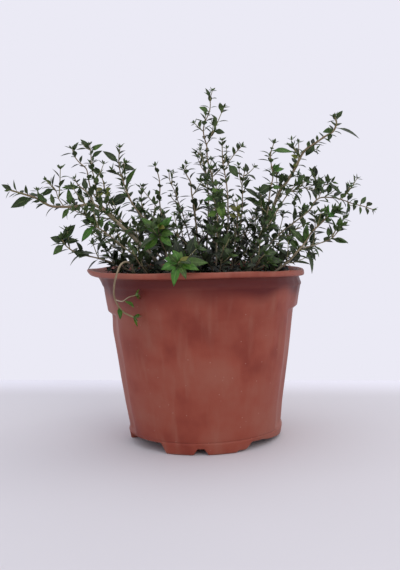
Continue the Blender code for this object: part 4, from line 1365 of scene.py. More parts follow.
STEMS: dict[str, Sprig] = {
    "stem_left_long": Sprig(
        route=(
            (-17, -12, 105), (-22, -13, 114), (-28, -14, 122), (-35, -15, 130), (-45, -16, 141),
            (-58, -17, 154), (-66, -18, 161), (-72, -18, 163), (-81, -19, 162), (-90, -20, 162),
            (-98, -21, 163), (-106, -21, 168), (-114, -22, 171), (-123, -22, 174),
        ),
        radius=(2, 0.6), bare=0.42, leaf=(8, 7),
        blades=(
            Blade(0.703, (-90.5, -19.5, 154), 4.5, Tone.GREEN),
            Blade(0.703, (-85.5, -20, 174), 5, Tone.GREEN), Blade(0.888, (-124, -21, 162.5), 8),
            Blade(0.988, (-129, -22, 178), 4),
        ),
        shoots=(
            Sprig(
                route=(
                    (-69, -18, 162.5), (-71, -17, 168), (-75, -17, 172.5), (-79, -17, 176), (-81, -17, 180),
                ),
                radius=(1.1, 0.5), bare=0.4, leaf=(8, 5),
                blades=(
                    Blade(0.483, (-75.5, -16.5, 181), 4.5),
                    Blade(0.677, (-90, -19.5, 174.5), 4, Tone.GREEN),
                ),
            ),
            Sprig(
                route=((-89, -20, 162.3), (-92.5, -19, 168), (-94, -18, 173), (-97, -17, 177)),
                radius=(0.6, 0.45), bare=0.6, leaf=(7, 6),
                blades=(Blade(0.802, (-103.5, -18.5, 169.5), 5),),
            ),
        ),
    ),
    "stem_upper_left": Sprig(
        route=(
            (-12, -3, 105), (-24, -5, 122), (-40, -6, 139), (-54, -8, 152), (-64, -10, 161),
            (-69, -10, 168), (-72, -11, 175), (-73, -12, 182), (-74, -12, 187), (-78, -13, 191),
            (-81, -13, 195), (-82.5, -13, 200),
        ),
        radius=(1.4, 0.5), bare=0.6, leaf=(7, 6),
        shoots=(
            Sprig(
                route=(
                    (-64, -10, 160.5), (-67.5, -8, 170), (-69, -7, 179), (-71, -7, 188), (-71, -7, 196),
                    (-71.5, -7, 203),
                ),
                radius=(0.7, 0.45), bare=0.35, leaf=(7, 5),
                blades=(
                    Blade(0.805, (-63, -8.5, 199), 4), Blade(0.905, (-62.5, -7, 203.5), 4, Tone.GREEN),
                    Blade(0.937, (-77.5, -9, 207), 4),
                ),
            ),
        ),
    ),
    "stem_left_fork": Sprig(
        route=(
            (-10, 7, 105), (-19, 7, 124), (-30, 5, 142), (-38, 3, 153), (-44, 1, 161), (-48, 1, 170),
            (-51, 1, 179), (-53, 1, 188), (-53, 1, 195), (-52, 1, 201),
        ),
        radius=(1.3, 0.5), bare=0.45, leaf=(8, 6),
        blades=(
            Blade(0.705, (-60, -1, 162), 9), Blade(0.749, (-41, -0.5, 187), 4.5, Tone.GREEN),
            Blade(0.893, (-42, -0.5, 186), 5), Blade(0.906, (-64, 1.5, 199.5), 5),
        ),
    ),
    "stem_left_middle": Sprig(
        route=(
            (-20, -2, 105), (-34, 12, 126), (-48, 14, 143), (-57, 14, 156), (-62, 14, 165), (-65, 13, 173),
            (-66, 13, 180), (-68, 13, 185),
        ),
        radius=(1, 0.5), bare=0.5, leaf=(7, 5),
        blades=(
            Blade(0.873, (-72.5, 10.5, 174.5), 4, Tone.OLIVE),
            Blade(0.873, (-71.5, 11.5, 168.5), 4, Tone.OLIVE),
            Blade(0.873, (-61, 11.5, 168.5), 4, Tone.OLIVE),
            Blade(0.873, (-60.5, 12.5, 174.5), 4, Tone.OLIVE),
        ),
    ),
    "stem_left_near": Sprig(
        route=(
            (-14, -27, 105), (-29, -31, 118), (-44, -33, 130), (-58, -33, 142), (-64, -32, 146.5),
            (-70, -31, 151), (-74, -30, 156), (-80, -30, 159),
        ),
        radius=(1.2, 0.5), bare=0.4, leaf=(9, 7),
        blades=(
            Blade(0.759, (-62, -32.5, 154.5), 4, Tone.GREEN),
            Blade(0.813, (-76.5, -32.5, 138.5), 6, Tone.VIVID),
            Blade(0.83, (-69.5, -33.5, 154.5), 4, Tone.GREEN), Blade(0.847, (-75.5, -32, 152), 5),
        ),
    ),
    "stem_left_low": Sprig(
        route=(
            (-28, -14, 105), (-42, -14, 114), (-57, -13, 122.5), (-68, -12, 126.5), (-77, -12, 129),
            (-85, -12, 132), (-90, -12, 136), (-92.5, -12, 140),
        ),
        radius=(1.1, 0.6), bare=0.5, leaf=(8, 9),
        blades=(
            Blade(0.736, (-85, -13, 131.5), 7), Blade(0.959, (-99, -12.5, 130), 6, Tone.GREEN),
            Blade(0.98, (-100, -14.5, 142), 6), Blade(0.98, (-81, -12, 139), 5),
            Blade(1.0, (-83, -11.5, 150), 8),
        ),
    ),
    "stem_left_rim": Sprig(
        route=((-32, 2, 105), (-47, 3, 114), (-60, 4, 124), (-65, 5, 131), (-68, 5, 139)),
        radius=(0.9, 0.5), bare=0.35, leaf=(8, 7), blades=(Blade(0.833, (-69.5, 3, 141), 4),),
    ),
    "stem_front_rosette": Sprig(
        route=((-12, -38, 105), (-18, -42, 119), (-22, -44, 131), (-25, -46, 141), (-25, -47, 148)),
        radius=(1.2, 0.7), bare=0.45, leaf=(11, 10),
        blades=(
            Blade(0.86, (-36.5, -46, 153), 7, Tone.VIVID), Blade(0.86, (-27, -45, 152), 5.5, Tone.GREEN),
            Blade(0.88, (-16.5, -46, 153.5), 5.5, Tone.VIVID),
            Blade(0.9, (-20.5, -50, 151.5), 4.5, Tone.VIVID),
            Blade(0.9, (-15.5, -50, 141.5), 6, Tone.GREEN), Blade(0.87, (-17, -52, 133.5), 6, Tone.VIVID),
            Blade(0.85, (-35.5, -50, 131.5), 6.5, Tone.VIVID), Blade(0.86, (-32, -48, 141), 5, Tone.GREEN),
            Blade(0.98, (-26, -54, 147.5), 4, Tone.OLIVE), Blade(0.98, (-21, -54, 145.5), 4, Tone.OLIVE),
        ),
    ),
    "stem_front_drape": Sprig(
        route=((-8, -44, 105), (-9, -55, 118), (-10, -64, 125), (-11.5, -72, 127), (-13, -78, 124.5)),
        radius=(1.1, 0.7), bare=0.45, leaf=(10, 10),
        blades=(
            Blade(0.466, (-14.5, -66, 119), 4, Tone.GREEN), Blade(0.93, (-23.5, -80, 121.5), 7, Tone.VIVID),
            Blade(0.93, (-21.5, -78, 128), 6, Tone.VIVID), Blade(0.95, (-16, -75, 133), 6, Tone.VIVID),
            Blade(0.95, (-11, -74, 132), 5, Tone.GREEN), Blade(0.96, (5, -78, 124.5), 6.5, Tone.GREEN),
            Blade(0.97, (-0.5, -82, 120.5), 6, Tone.VIVID), Blade(0.98, (-16, -84, 111.5), 6.5, Tone.VIVID),
            Blade(0.98, (-8.5, -84, 115.5), 5, Tone.GREEN), Blade(0.99, (-6.5, -82, 129), 4, Tone.OLIVE),
        ),
    ),
    "stem_trailing": Sprig(
        route=(
            (-39, -39, 105), (-42, -43, 117), (-45, -50, 125), (-49, -56, 124.5), (-51.5, -60, 119),
            (-53.5, -60, 112), (-54, -59, 105), (-52, -58, 99), (-48.5, -58, 94.5), (-43, -58, 91.5),
        ),
        radius=(1.3, 0.8), bare=0.86, leaf=(8, 8), tone=Tone.VIVID, wood=0.85, twigs=0.0,
        shoots=(
            Sprig(
                route=((-53.2, -58.6, 102.5), (-49, -59, 101.5), (-45, -60, 104), (-41, -60, 105)),
                radius=(0.6, 0.5), bare=0.45, leaf=(7, 6), tone=Tone.VIVID, twigs=0.0,
            ),
        ),
    ),
    "stem_centre_left": Sprig(
        route=(
            (-7, 12, 105), (-14, 12, 122), (-21, 10, 139), (-25, 8, 152), (-26.5, 7, 163), (-26, 7, 173),
            (-26.5, 7, 181), (-28.5, 7, 188),
        ),
        radius=(1.1, 0.5), bare=0.5, leaf=(7, 6), blades=(Blade(0.809, (-29.5, 6, 169), 5),),
    ),
    "stem_left_thin": Sprig(
        route=(
            (-17, 20, 105), (-27, 20, 126), (-35, 19, 145), (-39.5, 19, 159), (-40, 19, 168),
            (-39.5, 19, 175),
        ),
        radius=(0.8, 0.4), bare=0.62, leaf=(7, 5),
    ),
    "stem_centre_far": Sprig(
        route=(
            (-1, 22, 105), (-4, 21, 124), (-8, 19, 142), (-11, 17, 155), (-14, 15, 164), (-16, 14, 171),
            (-19, 14, 178), (-19.5, 14, 184),
        ),
        radius=(0.9, 0.45), bare=0.5, leaf=(6, 5),
    ),
    "stem_centre": Sprig(
        route=(
            (0, 3, 105), (0, 3, 122), (-1.5, 2, 143), (-2.5, 1, 158), (-4, 1, 168), (-4.5, 1, 176),
            (-7, 1, 181), (-8.5, 1, 185),
        ),
        radius=(1.4, 0.6), bare=0.36, leaf=(8, 6),
    ),
    "stem_front_bare": Sprig(
        route=((6, -17, 105), (0, -20, 121), (-8, -22, 134), (-14, -23, 140), (-18, -23, 146)),
        radius=(0.8, 0.45), bare=0.85, leaf=(6, 5),
    ),
    "stem_tall": Sprig(
        route=(
            (8, 8, 105), (9, 8, 122), (11, 7, 142), (12, 6, 160), (11, 5, 175), (9.5, 4, 184),
            (7.5, 3, 192), (7.5, 2, 200), (6, 1, 206), (5.5, 1, 211), (6.5, 0, 216), (8.7, 0, 220.5),
            (10.4, 0, 225), (10.8, 0, 230), (9.8, 0, 234),
        ),
        radius=(1.5, 0.45), bare=0.34, leaf=(9, 5.5),
        blades=(Blade(0.918, (3, -1.5, 226.5), 4.5, Tone.GREEN),),
        shoots=(
            Sprig(
                route=((10.8, 5, 176), (6, 3, 182), (3, 2, 187), (1.6, 2, 191), (0, 2, 195.5)),
                radius=(0.6, 0.4), bare=0.6, leaf=(6, 5),
            ),
            Sprig(
                route=((7.6, 2, 201.5), (10, -1, 206), (12.5, -2, 210)), radius=(0.5, 0.4), bare=0.6,
                leaf=(7, 5), blades=(Blade(1.0, (20, -3, 208.5), 5),),
            ),
        ),
    ),
    "stem_centre_right": Sprig(
        route=(
            (13, 0, 105), (17, -1, 124), (20, -2, 145), (20.5, -3, 165), (19.5, -3, 178), (18, -3, 188),
            (17.8, -3, 196), (18, -3, 203),
        ),
        radius=(1.2, 0.5), bare=0.4, leaf=(8, 5),
        shoots=(
            Sprig(
                route=((18.8, -3, 183), (23, -4, 190), (27, -4, 195), (30.5, -4, 198.5)), radius=(0.6, 0.4),
                bare=0.4, leaf=(6, 6), blades=(Blade(0.259, (28, -4, 178), 7),),
            ),
        ),
    ),
    "stem_front_green": Sprig(
        route=(
            (9, -27, 105), (10.5, -33, 122), (11.5, -35, 140), (12.5, -36, 154), (12.5, -36, 164),
            (12, -36, 171),
        ),
        radius=(1.1, 0.6), bare=0.4, leaf=(10, 8),
        blades=(
            Blade(0.772, (5.5, -37, 152), 5, Tone.VIVID), Blade(0.795, (18.5, -37.5, 161), 5, Tone.GREEN),
            Blade(0.877, (16, -36, 149), 7, Tone.VIVID), Blade(0.919, (3.5, -36.5, 162), 4, Tone.VIVID),
            Blade(0.919, (9.5, -37.5, 170.5), 5, Tone.VIVID),
            Blade(0.919, (17, -36.5, 169.5), 5, Tone.GREEN),
        ),
    ),
    "stem_olive": Sprig(
        route=((19, -13, 105), (22, -17, 124), (25, -19, 141), (26, -20, 152), (26, -20, 161)),
        radius=(0.9, 0.5), bare=0.45, leaf=(7, 6),
        blades=(
            Blade(0.842, (20, -21.5, 153), 4, Tone.OLIVE), Blade(0.842, (28, -19.5, 153), 4, Tone.OLIVE),
            Blade(0.898, (21, -20.5, 159.5), 4, Tone.OLIVE),
            Blade(0.898, (28, -20.5, 159.5), 4, Tone.OLIVE),
        ),
    ),
    "stem_right_middle": Sprig(
        route=((20, 8, 105), (25, 8, 124), (29, 7, 145), (31, 6, 162), (31, 5, 174), (33, 5, 182)),
        radius=(1, 0.5), bare=0.4, leaf=(8, 6), blades=(Blade(0.785, (44.5, 5, 158), 4),),
        shoots=(
            Sprig(
                route=((31.2, 5, 172), (29.5, 2, 178), (29, 1, 186)), radius=(0.5, 0.4), bare=0.6,
                leaf=(5, 5), blades=(Blade(0.0, (44, 2.5, 162), 4),),
            ),
        ),
    ),
    "stem_right_upright": Sprig(
        route=(
            (27, -2, 105), (32, -1, 119), (39, -1, 132), (44, -1, 141), (47, -1, 150), (48.5, -1, 160),
            (50, -1, 170), (52, -1, 178), (51, -1, 187), (51, -1, 194), (53, -1, 200),
        ),
        radius=(1.3, 0.5), bare=0.4, leaf=(9, 6),
        blades=(
            Blade(0.507, (41, -1.5, 148), 6), Blade(0.565, (52, -1, 146), 8, Tone.GREEN),
            Blade(0.712, (57.5, -2.5, 170), 4, Tone.GREEN), Blade(0.728, (42, -1.5, 167), 8),
            Blade(0.822, (57, -1.5, 186), 4, Tone.VIVID), Blade(0.822, (60, -1, 183), 4, Tone.VIVID),
            Blade(0.953, (66, -1, 194), 4.5, Tone.GREEN),
        ),
    ),
    "stem_right_long": Sprig(
        route=(
            (31, 15, 105), (37, 15, 122), (45, 14, 140), (52, 13, 155), (57, 13, 167), (63, 12, 175),
            (69, 12, 184), (72, 12, 190), (76, 12, 196), (83, 12, 200.5), (90, 12, 205), (96, 12, 208.5),
            (98.5, 12, 214), (97.5, 12, 218),
        ),
        radius=(1.9, 0.6), bare=0.45, leaf=(9, 5.5),
        blades=(
            Blade(0.948, (114.5, 12, 202.5), 3.5), Blade(0.686, (67.5, 11.5, 184.5), 4, Tone.OLIVE),
            Blade(0.822, (76.5, 12.5, 192), 7), Blade(0.915, (92.5, 10, 202), 4),
            Blade(0.936, (88.5, 11, 208), 5, Tone.GREEN), Blade(0.98, (96, 12.5, 220.5), 4),
            Blade(0.99, (103, 11.5, 222.5), 4),
        ),
        shoots=(
            Sprig(
                route=((71.5, 12, 189), (71.5, 10, 195), (71.5, 10, 201)), radius=(0.6, 0.45), bare=0.55,
                leaf=(6, 5), blades=(Blade(0.129, (66, 10.5, 193), 4, Tone.OLIVE),),
            ),
        ),
    ),
    "stem_right_spray": Sprig(
        route=(
            (24, -10, 105), (34, -12, 125), (45, -13, 142), (54, -13, 156), (61, -13, 166), (66, -13, 171),
            (72, -13, 174), (76.5, -13, 177),
        ),
        radius=(1, 0.45), bare=0.42, leaf=(8, 6),
        shoots=(
            Sprig(
                route=((62, -13, 167), (68, -14, 168.5), (74, -14, 169.5), (80, -14, 171.5)),
                radius=(0.5, 0.4), bare=0.4, leaf=(7, 7),
                blades=(
                    Blade(0.83, (85.5, -16, 172.5), 5), Blade(0.915, (81, -14.5, 163.5), 5),
                    Blade(1.0, (84.5, -15, 164.5), 4),
                ),
            ),
        ),
    ),
    "stem_right_near": Sprig(
        route=(
            (34, -25, 105), (47, -29, 113), (58, -32, 121.5), (64, -32, 128), (69, -31, 133),
            (73, -30, 139), (79, -29, 144.5), (84, -28, 149), (88, -27, 153),
        ),
        radius=(1.5, 0.7), bare=0.4, leaf=(8, 9),
        blades=(
            Blade(0.546, (56.5, -33, 138), 5), Blade(0.621, (59, -33.5, 142.5), 5),
            Blade(0.641, (70.5, -32, 145.5), 5, Tone.GREEN), Blade(0.888, (87, -29, 147), 4),
            Blade(0.905, (85, -30, 157.5), 4, Tone.VIVID), Blade(0.922, (90, -28.5, 152), 4, Tone.VIVID),
            Blade(0.962, (92, -30, 155.5), 4, Tone.GREEN),
        ),
        shoots=(
            Sprig(
                route=(
                    (66, -31.5, 130), (72, -31, 130.5), (79, -31, 132.5), (86, -31, 135), (90, -31, 139),
                    (93.5, -31, 143),
                ),
                radius=(0.7, 0.5), bare=0.4, leaf=(8, 8),
                blades=(
                    Blade(0.654, (97, -32, 132), 4.5, Tone.GREEN),
                    Blade(0.917, (92, -33, 149), 5, Tone.GREEN),
                ),
            ),
        ),
    ),
    "stem_right_reach": Sprig(
        route=(
            (30, 27, 105), (40, 26, 118), (51, 25, 131), (59, 24, 139), (67, 23, 145), (74, 22, 150),
            (80, 21, 155), (83, 20, 160), (88, 20, 163), (97, 20, 162.5), (104, 20, 160.5), (110, 20, 158),
            (117, 20, 156), (124, 20, 153.5),
        ),
        radius=(1.3, 0.5), bare=0.4, leaf=(9, 6),
        shoots=(
            Sprig(
                route=((86, 20, 162), (88, 19, 168), (91, 18, 174)), radius=(0.6, 0.45), bare=0.5,
                leaf=(8, 7),
            ),
            Sprig(
                route=((102, 20, 161), (106, 19, 165.5), (109, 19, 171)), radius=(0.5, 0.4), bare=0.55,
                leaf=(6, 5),
            ),
        ),
    ),
    "stem_right_rim": Sprig(
        route=((36, -8, 105), (48, -9, 114), (60, -10, 124), (68, -11, 127.5), (74, -12, 129)),
        radius=(0.9, 0.55), bare=0.35, leaf=(8, 8),
        blades=(Blade(0.863, (64.5, -13, 119), 5), Blade(0.967, (75.5, -12.5, 111), 4)),
    ),
    "stem_front_low": Sprig(
        route=((28, -36, 105), (33, -46, 115), (37, -56, 124), (40, -63, 128)), radius=(0.9, 0.55),
        bare=0.35, leaf=(8, 8),
        blades=(
            Blade(0.771, (39.5, -57.5, 126), 4), Blade(0.771, (52, -57, 123), 6),
            Blade(0.817, (46.5, -58, 127.5), 5, Tone.VIVID),
        ),
    ),
    "stem_front_left_low": Sprig(
        route=((-24, -34, 105), (-33, -44, 116), (-39, -51, 126), (-42, -55, 133)), radius=(0.9, 0.5),
        bare=0.35, leaf=(8, 6),
    ),
    "stem_front_middle_low": Sprig(
        route=((10, -44, 105), (12, -52, 117), (14, -58, 127), (15, -61, 134)), radius=(0.9, 0.5),
        bare=0.35, leaf=(8, 6),
    ),
    "stem_back_tall": Sprig(
        route=((4, 33, 105), (5, 38, 125), (7, 42, 147), (8, 44, 168), (7, 45, 184), (5, 46, 197)),
        radius=(1.3, 0.5), bare=0.35, leaf=(9, 6),
    ),
    "stem_back_left": Sprig(
        route=(
            (-14, 34, 105), (-23, 42, 123), (-34, 49, 141), (-44, 54, 156), (-52, 58, 168), (-57, 61, 178),
        ),
        radius=(1.2, 0.5), bare=0.38, leaf=(9, 6),
    ),
    "stem_back_left_low": Sprig(
        route=((-29, 22, 105), (-43, 31, 117), (-57, 38, 128), (-69, 43, 137), (-80, 46, 145)),
        radius=(1.1, 0.5), bare=0.4, leaf=(9, 7),
    ),
    "stem_back_middle": Sprig(
        route=((-6, 46, 105), (-9, 55, 120), (-12, 64, 135), (-14, 71, 148), (-15, 76, 160)),
        radius=(1.1, 0.5), bare=0.38, leaf=(9, 6),
    ),
    "stem_back_right": Sprig(
        route=((19, 37, 105), (26, 46, 122), (35, 53, 139), (43, 58, 154), (49, 62, 167)),
        radius=(1.2, 0.5), bare=0.38, leaf=(9, 6),
    ),
    "stem_back_right_low": Sprig(
        route=((33, 36, 105), (46, 43, 118), (58, 50, 129.5), (70, 55, 138), (81, 58, 144)),
        radius=(1.1, 0.5), bare=0.4, leaf=(9, 7),
    ),
    "stem_back_rim": Sprig(
        route=((12, 50, 105), (16, 60, 117), (20, 69, 126), (23, 75, 131), (25, 80, 133)),
        radius=(0.9, 0.55), bare=0.38, leaf=(8, 8),
    ),
    "stem_back_rim_left": Sprig(
        route=((-24, 44, 105), (-31, 53, 117), (-37, 61, 127), (-41, 67, 133)), radius=(0.9, 0.55),
        bare=0.35, leaf=(8, 8),
    ),
}


class Route:
    """A smooth curve through a stem's points, read by its length in millimetres."""

    STEP = 1.5

    def __init__(self, points: list[Vector], phase: float) -> None:
        """Lay the curve and carry a side direction along it.

        Args:
            points: The points that the stem grows through.
            phase: The angle of the first leaf pair about the stem.
        """
        ends = [2 * points[0] - points[1], *points, 2 * points[-1] - points[-2]]
        self.points = [points[0]]
        for p0, p1, p2, p3 in zip(ends, ends[1:], ends[2:], ends[3:]):
            steps = max(2, round((p2 - p1).length / self.STEP))
            for i in range(1, steps + 1):
                t = i / steps
                bend = (2 * p0 - 5 * p1 + 4 * p2 - p3) * t * t + (3 * p1 - p0 - 3 * p2 + p3) * t**3
                self.points.append(0.5 * (2 * p1 + (p2 - p0) * t + bend))
        self.lengths = [0.0]
        for a, b in zip(self.points, self.points[1:]):
            self.lengths.append(self.lengths[-1] + (b - a).length)
        self.total = self.lengths[-1]
        side = self.tangent(0).cross(Vector((0.31, 0.95, 0.05))).normalized()
        self.sides = [Matrix.Rotation(phase, 3, self.tangent(0)) @ side]
        for i in range(1, len(self.points)):
            ahead = self.tangent(i)
            last = self.sides[-1]
            self.sides.append((last - ahead * last.dot(ahead)).normalized())

    def tangent(self, i: int) -> Vector:
        """Read the direction of growth at the curve's point i."""
        return (self.points[min(i + 1, len(self.points) - 1)] - self.points[max(i - 1, 0)]).normalized()

    def at(self, length: float) -> tuple[Vector, Vector, Vector]:
        """Read the curve at a length.

        Args:
            length: The length from the stem's foot.

        Returns:
            The place, the direction of growth and the side direction.
        """
        length = min(max(length, 0.0), self.total)
        i = 0
        while i < len(self.lengths) - 2 and self.lengths[i + 1] < length:
            i += 1
        share = (length - self.lengths[i]) / (self.lengths[i + 1] - self.lengths[i])
        ahead = self.tangent(i).lerp(self.tangent(i + 1), share).normalized()
        side = self.sides[i].lerp(self.sides[i + 1], share)
        side = (side - ahead * side.dot(ahead)).normalized()
        return self.points[i].lerp(self.points[i + 1], share), ahead, side


def painted_daylight(place: Vector) -> float:
    """Read the painted shade at a place: growth is painted darker low down and inside the plant.

    Args:
        place: The place, in millimetres.

    Returns:
        The share, up to 1 where the sun reaches.
    """
    out = math.hypot(place.x, place.y)
    above = smooth_step(place.z + 0.55 * out, *SUNNY_LEVELS)
    outside = smooth_step(out, *OPEN_AIR)
    return DARKEST_PAINTED_SHADE + (1 - DARKEST_PAINTED_SHADE) * max(above, outside)


@dataclass
class Foliage:
    """The leaves of one piece, gathered as points for the leaf tree."""

    pot: Pot
    soil: float = 104.0
    room: float = 3.5
    painted_shade: float = 1.0
    roots: list[Vector] = field(default_factory=list)
    ways: list[Vector] = field(default_factory=list)
    ups: list[Vector] = field(default_factory=list)
    sizes: list[Vector] = field(default_factory=list)
    hues: list[float] = field(default_factory=list)
    shades: list[float] = field(default_factory=list)

    def blocked(self, root: Vector, reach: Vector) -> bool:
        """Test whether a leaf would meet the pot or the mix, or reach outside the model's box.

        Args:
            root: Where the leaf grows.
            reach: From there to its tip.

        Returns:
            True if any part of it would.
        """
        tip = root + reach
        low, high = (Vector(corner) / MM for corner in CAD_BOX)
        if any(not a - self.room < c < b + self.room for a, c, b in zip(low, tip, high)):
            return True
        for share in (0.35, 0.7, 1.0):
            spot = root + reach * share
            out = math.hypot(spot.x, spot.y)
            inner = self.pot.neck_radius - self.pot.wall - 2.0
            if out < inner and spot.z < self.soil:
                return True
            if inner <= out < self.pot.rim_radius + 1.2 and spot.z < self.pot.height + 1.0:
                return True
            if out >= inner and spot.z < self.pot.height - self.pot.rim_depth and out < self.pot.rim_radius:
                return True
        return False

    def add(
        self, root: Vector, reach: Vector, up: Vector, width: float, curl: float, hue: float, shade: float
    ) -> None:
        """Add one leaf whose tip ends at root + reach.

        Args:
            root: Where it grows, in millimetres.
            reach: From there to its tip.
            up: The way its upper face looks, roughly.
            width: Its width.
            curl: How far it bends down along its length, in radians.
            hue: Its place on the leaf colour ramp.
            shade: A factor on its colour, for random tone; painted shade is multiplied in too.
        """
        way = reach.normalized()
        up = up - way * up.dot(way)
        up = (up if up.length > 0.05 else way.orthogonal()).normalized()
        curl = curl if abs(curl) > 0.03 else 0.03
        start = way * math.cos(curl / 2) + up * math.sin(curl / 2)
        over = up * math.cos(curl / 2) - way * math.sin(curl / 2)
        length = reach.length * (curl / 2) / math.sin(curl / 2)
        self.roots.append(root * MM)
        self.ways.append(start)
        self.ups.append(over)
        self.sizes.append(Vector((length * MM, width * MM, curl)))
        self.hues.append(min(max(hue, 0.0), 1.0))
        # Painted shade: leaves low inside the plant are painted darker than those that the light reaches.
        self.shades.append(shade * self.painted_shade * painted_daylight(root))

    def piece(self, name: str, tree: bpy.types.NodeTree, finish: bpy.types.Material) -> bpy.types.Object:
        """Grow the gathered leaves as one piece.

        Args:
            name: The piece's name.
            tree: The leaf tree.
            finish: The leaf's material.

        Returns:
            The piece.
        """
        mesh = bpy.data.meshes.new(name)
        mesh.from_pydata(self.roots, [], [])
        vectors = {"root": self.roots, "way": self.ways, "up": self.ups, "size": self.sizes}
        for label, values in vectors.items():
            layer = mesh.attributes.new(label, "FLOAT_VECTOR", "POINT")
            layer.data.foreach_set("vector", [c for value in values for c in value])
        for label, numbers in (("hue", self.hues), ("shade", self.shades)):
            layer = mesh.attributes.new(label, "FLOAT", "POINT")
            layer.data.foreach_set("value", numbers)
        piece = new_object(name, mesh)
        shape_with(piece, tree, {"Finish": finish})
        return piece


@dataclass
class Wood:
    """The bare stems of one piece, gathered as lines for the bark tree."""

    points: list[Vector] = field(default_factory=list)
    lines: list[tuple[int, int]] = field(default_factory=list)
    girths: list[float] = field(default_factory=list)
    ages: list[float] = field(default_factory=list)
    shades: list[float] = field(default_factory=list)
    painted_shade: float = 1.0

    def add(self, route: Route, radius: tuple[float, float], joints: list[float], wood: float) -> None:
        """Add one stem.

        Args:
            route: The curve that it follows.
            radius: Its radius at both ends.
            joints: The lengths at which leaves stand, where it swells a little.
            wood: How woody its foot is, 0 to 1.
        """
        first = len(self.points)
        for place, length in zip(route.points, route.lengths):
            share = length / route.total
            swell = max((math.exp(-(((length - joint) / 0.9) ** 2)) for joint in joints), default=0.0)
            self.points.append(place * MM)
            thick = (radius[0] + (radius[1] - radius[0]) * share) * (1 + 0.16 * swell)
            self.girths.append(thick * MM)
            self.ages.append(max(0.0, wood * (1 - 0.6 * share**1.6)))
            # Painted shade: the bark is painted darker low down and inside the plant.
            self.shades.append(self.painted_shade * (0.25 + 0.75 * painted_daylight(place)))
        self.points.append((route.points[-1] + route.tangent(len(route.points) - 1) * 0.8) * MM)
        self.girths.append(0.15 * MM)
        self.ages.append(wood * 0.4)
        self.shades.append(self.shades[-1])
        self.lines += [(i, i + 1) for i in range(first, len(self.points) - 1)]

    def piece(self, name: str, tree: bpy.types.NodeTree, finish: bpy.types.Material) -> bpy.types.Object:
        """Draw the gathered stems as one piece.

        Args:
            name: The piece's name.
            tree: The bark tree.
            finish: The bark's material.

        Returns:
            The piece.
        """
        mesh = bpy.data.meshes.new(name)
        mesh.from_pydata(self.points, self.lines, [])
        for label, numbers in (("girth", self.girths), ("age", self.ages), ("shade", self.shades)):
            layer = mesh.attributes.new(label, "FLOAT", "POINT")
            layer.data.foreach_set("value", numbers)
        piece = new_object(name, mesh)
        shape_with(piece, tree, {"Finish": finish})
        return piece


@dataclass(frozen=True)
class Habit:
    """How thyme leaves grow: ranges for the leaves of a pair, and of the small ones in its axils.

    length is a factor, width a share of the length, spread the angle from the stem and curl the
    bend along the leaf, in radians. flat holds the spreads to try where the first is blocked.
    """

    length: tuple[float, float] = (0.85, 1.3)
    width: tuple[float, float] = (0.34, 0.46)
    spread: tuple[float, float] = (0.7, 1.45)
    flat: tuple[float, float] = (0.45, 0.25)
    curl: tuple[float, float] = (0.1, 1.0)
    droop: float = 0.15
    small_length: tuple[float, float] = (0.75, 1.2)
    small_width: tuple[float, float] = (0.3, 0.42)
    small_spread: tuple[float, float] = (0.3, 1.2)
    tip_leaves: int = 6
    tip_turn: float = 1.72
    tip_width: float = 0.34


@dataclass(frozen=True)
class Undergrowth:
    """The short shaded shoots about the stems' feet: how many, how tall, how they lean and how much painted
    shade they get.
    """

    seed: int = 2024
    count: int = 38
    spread: float = 60.0
    tall: tuple[float, float] = (12, 26)
    crown: float = 16.0
    lean: float = 0.35
    stray: float = 0.22
    bow: float = 0.12
    rim: float = 63.0
    over_rim: float = 132.0
    # Painted shade on the undergrowth's bark and leaves.
    bark_painted_shade: float = 0.4
    leaf_painted_shade: float = 0.6


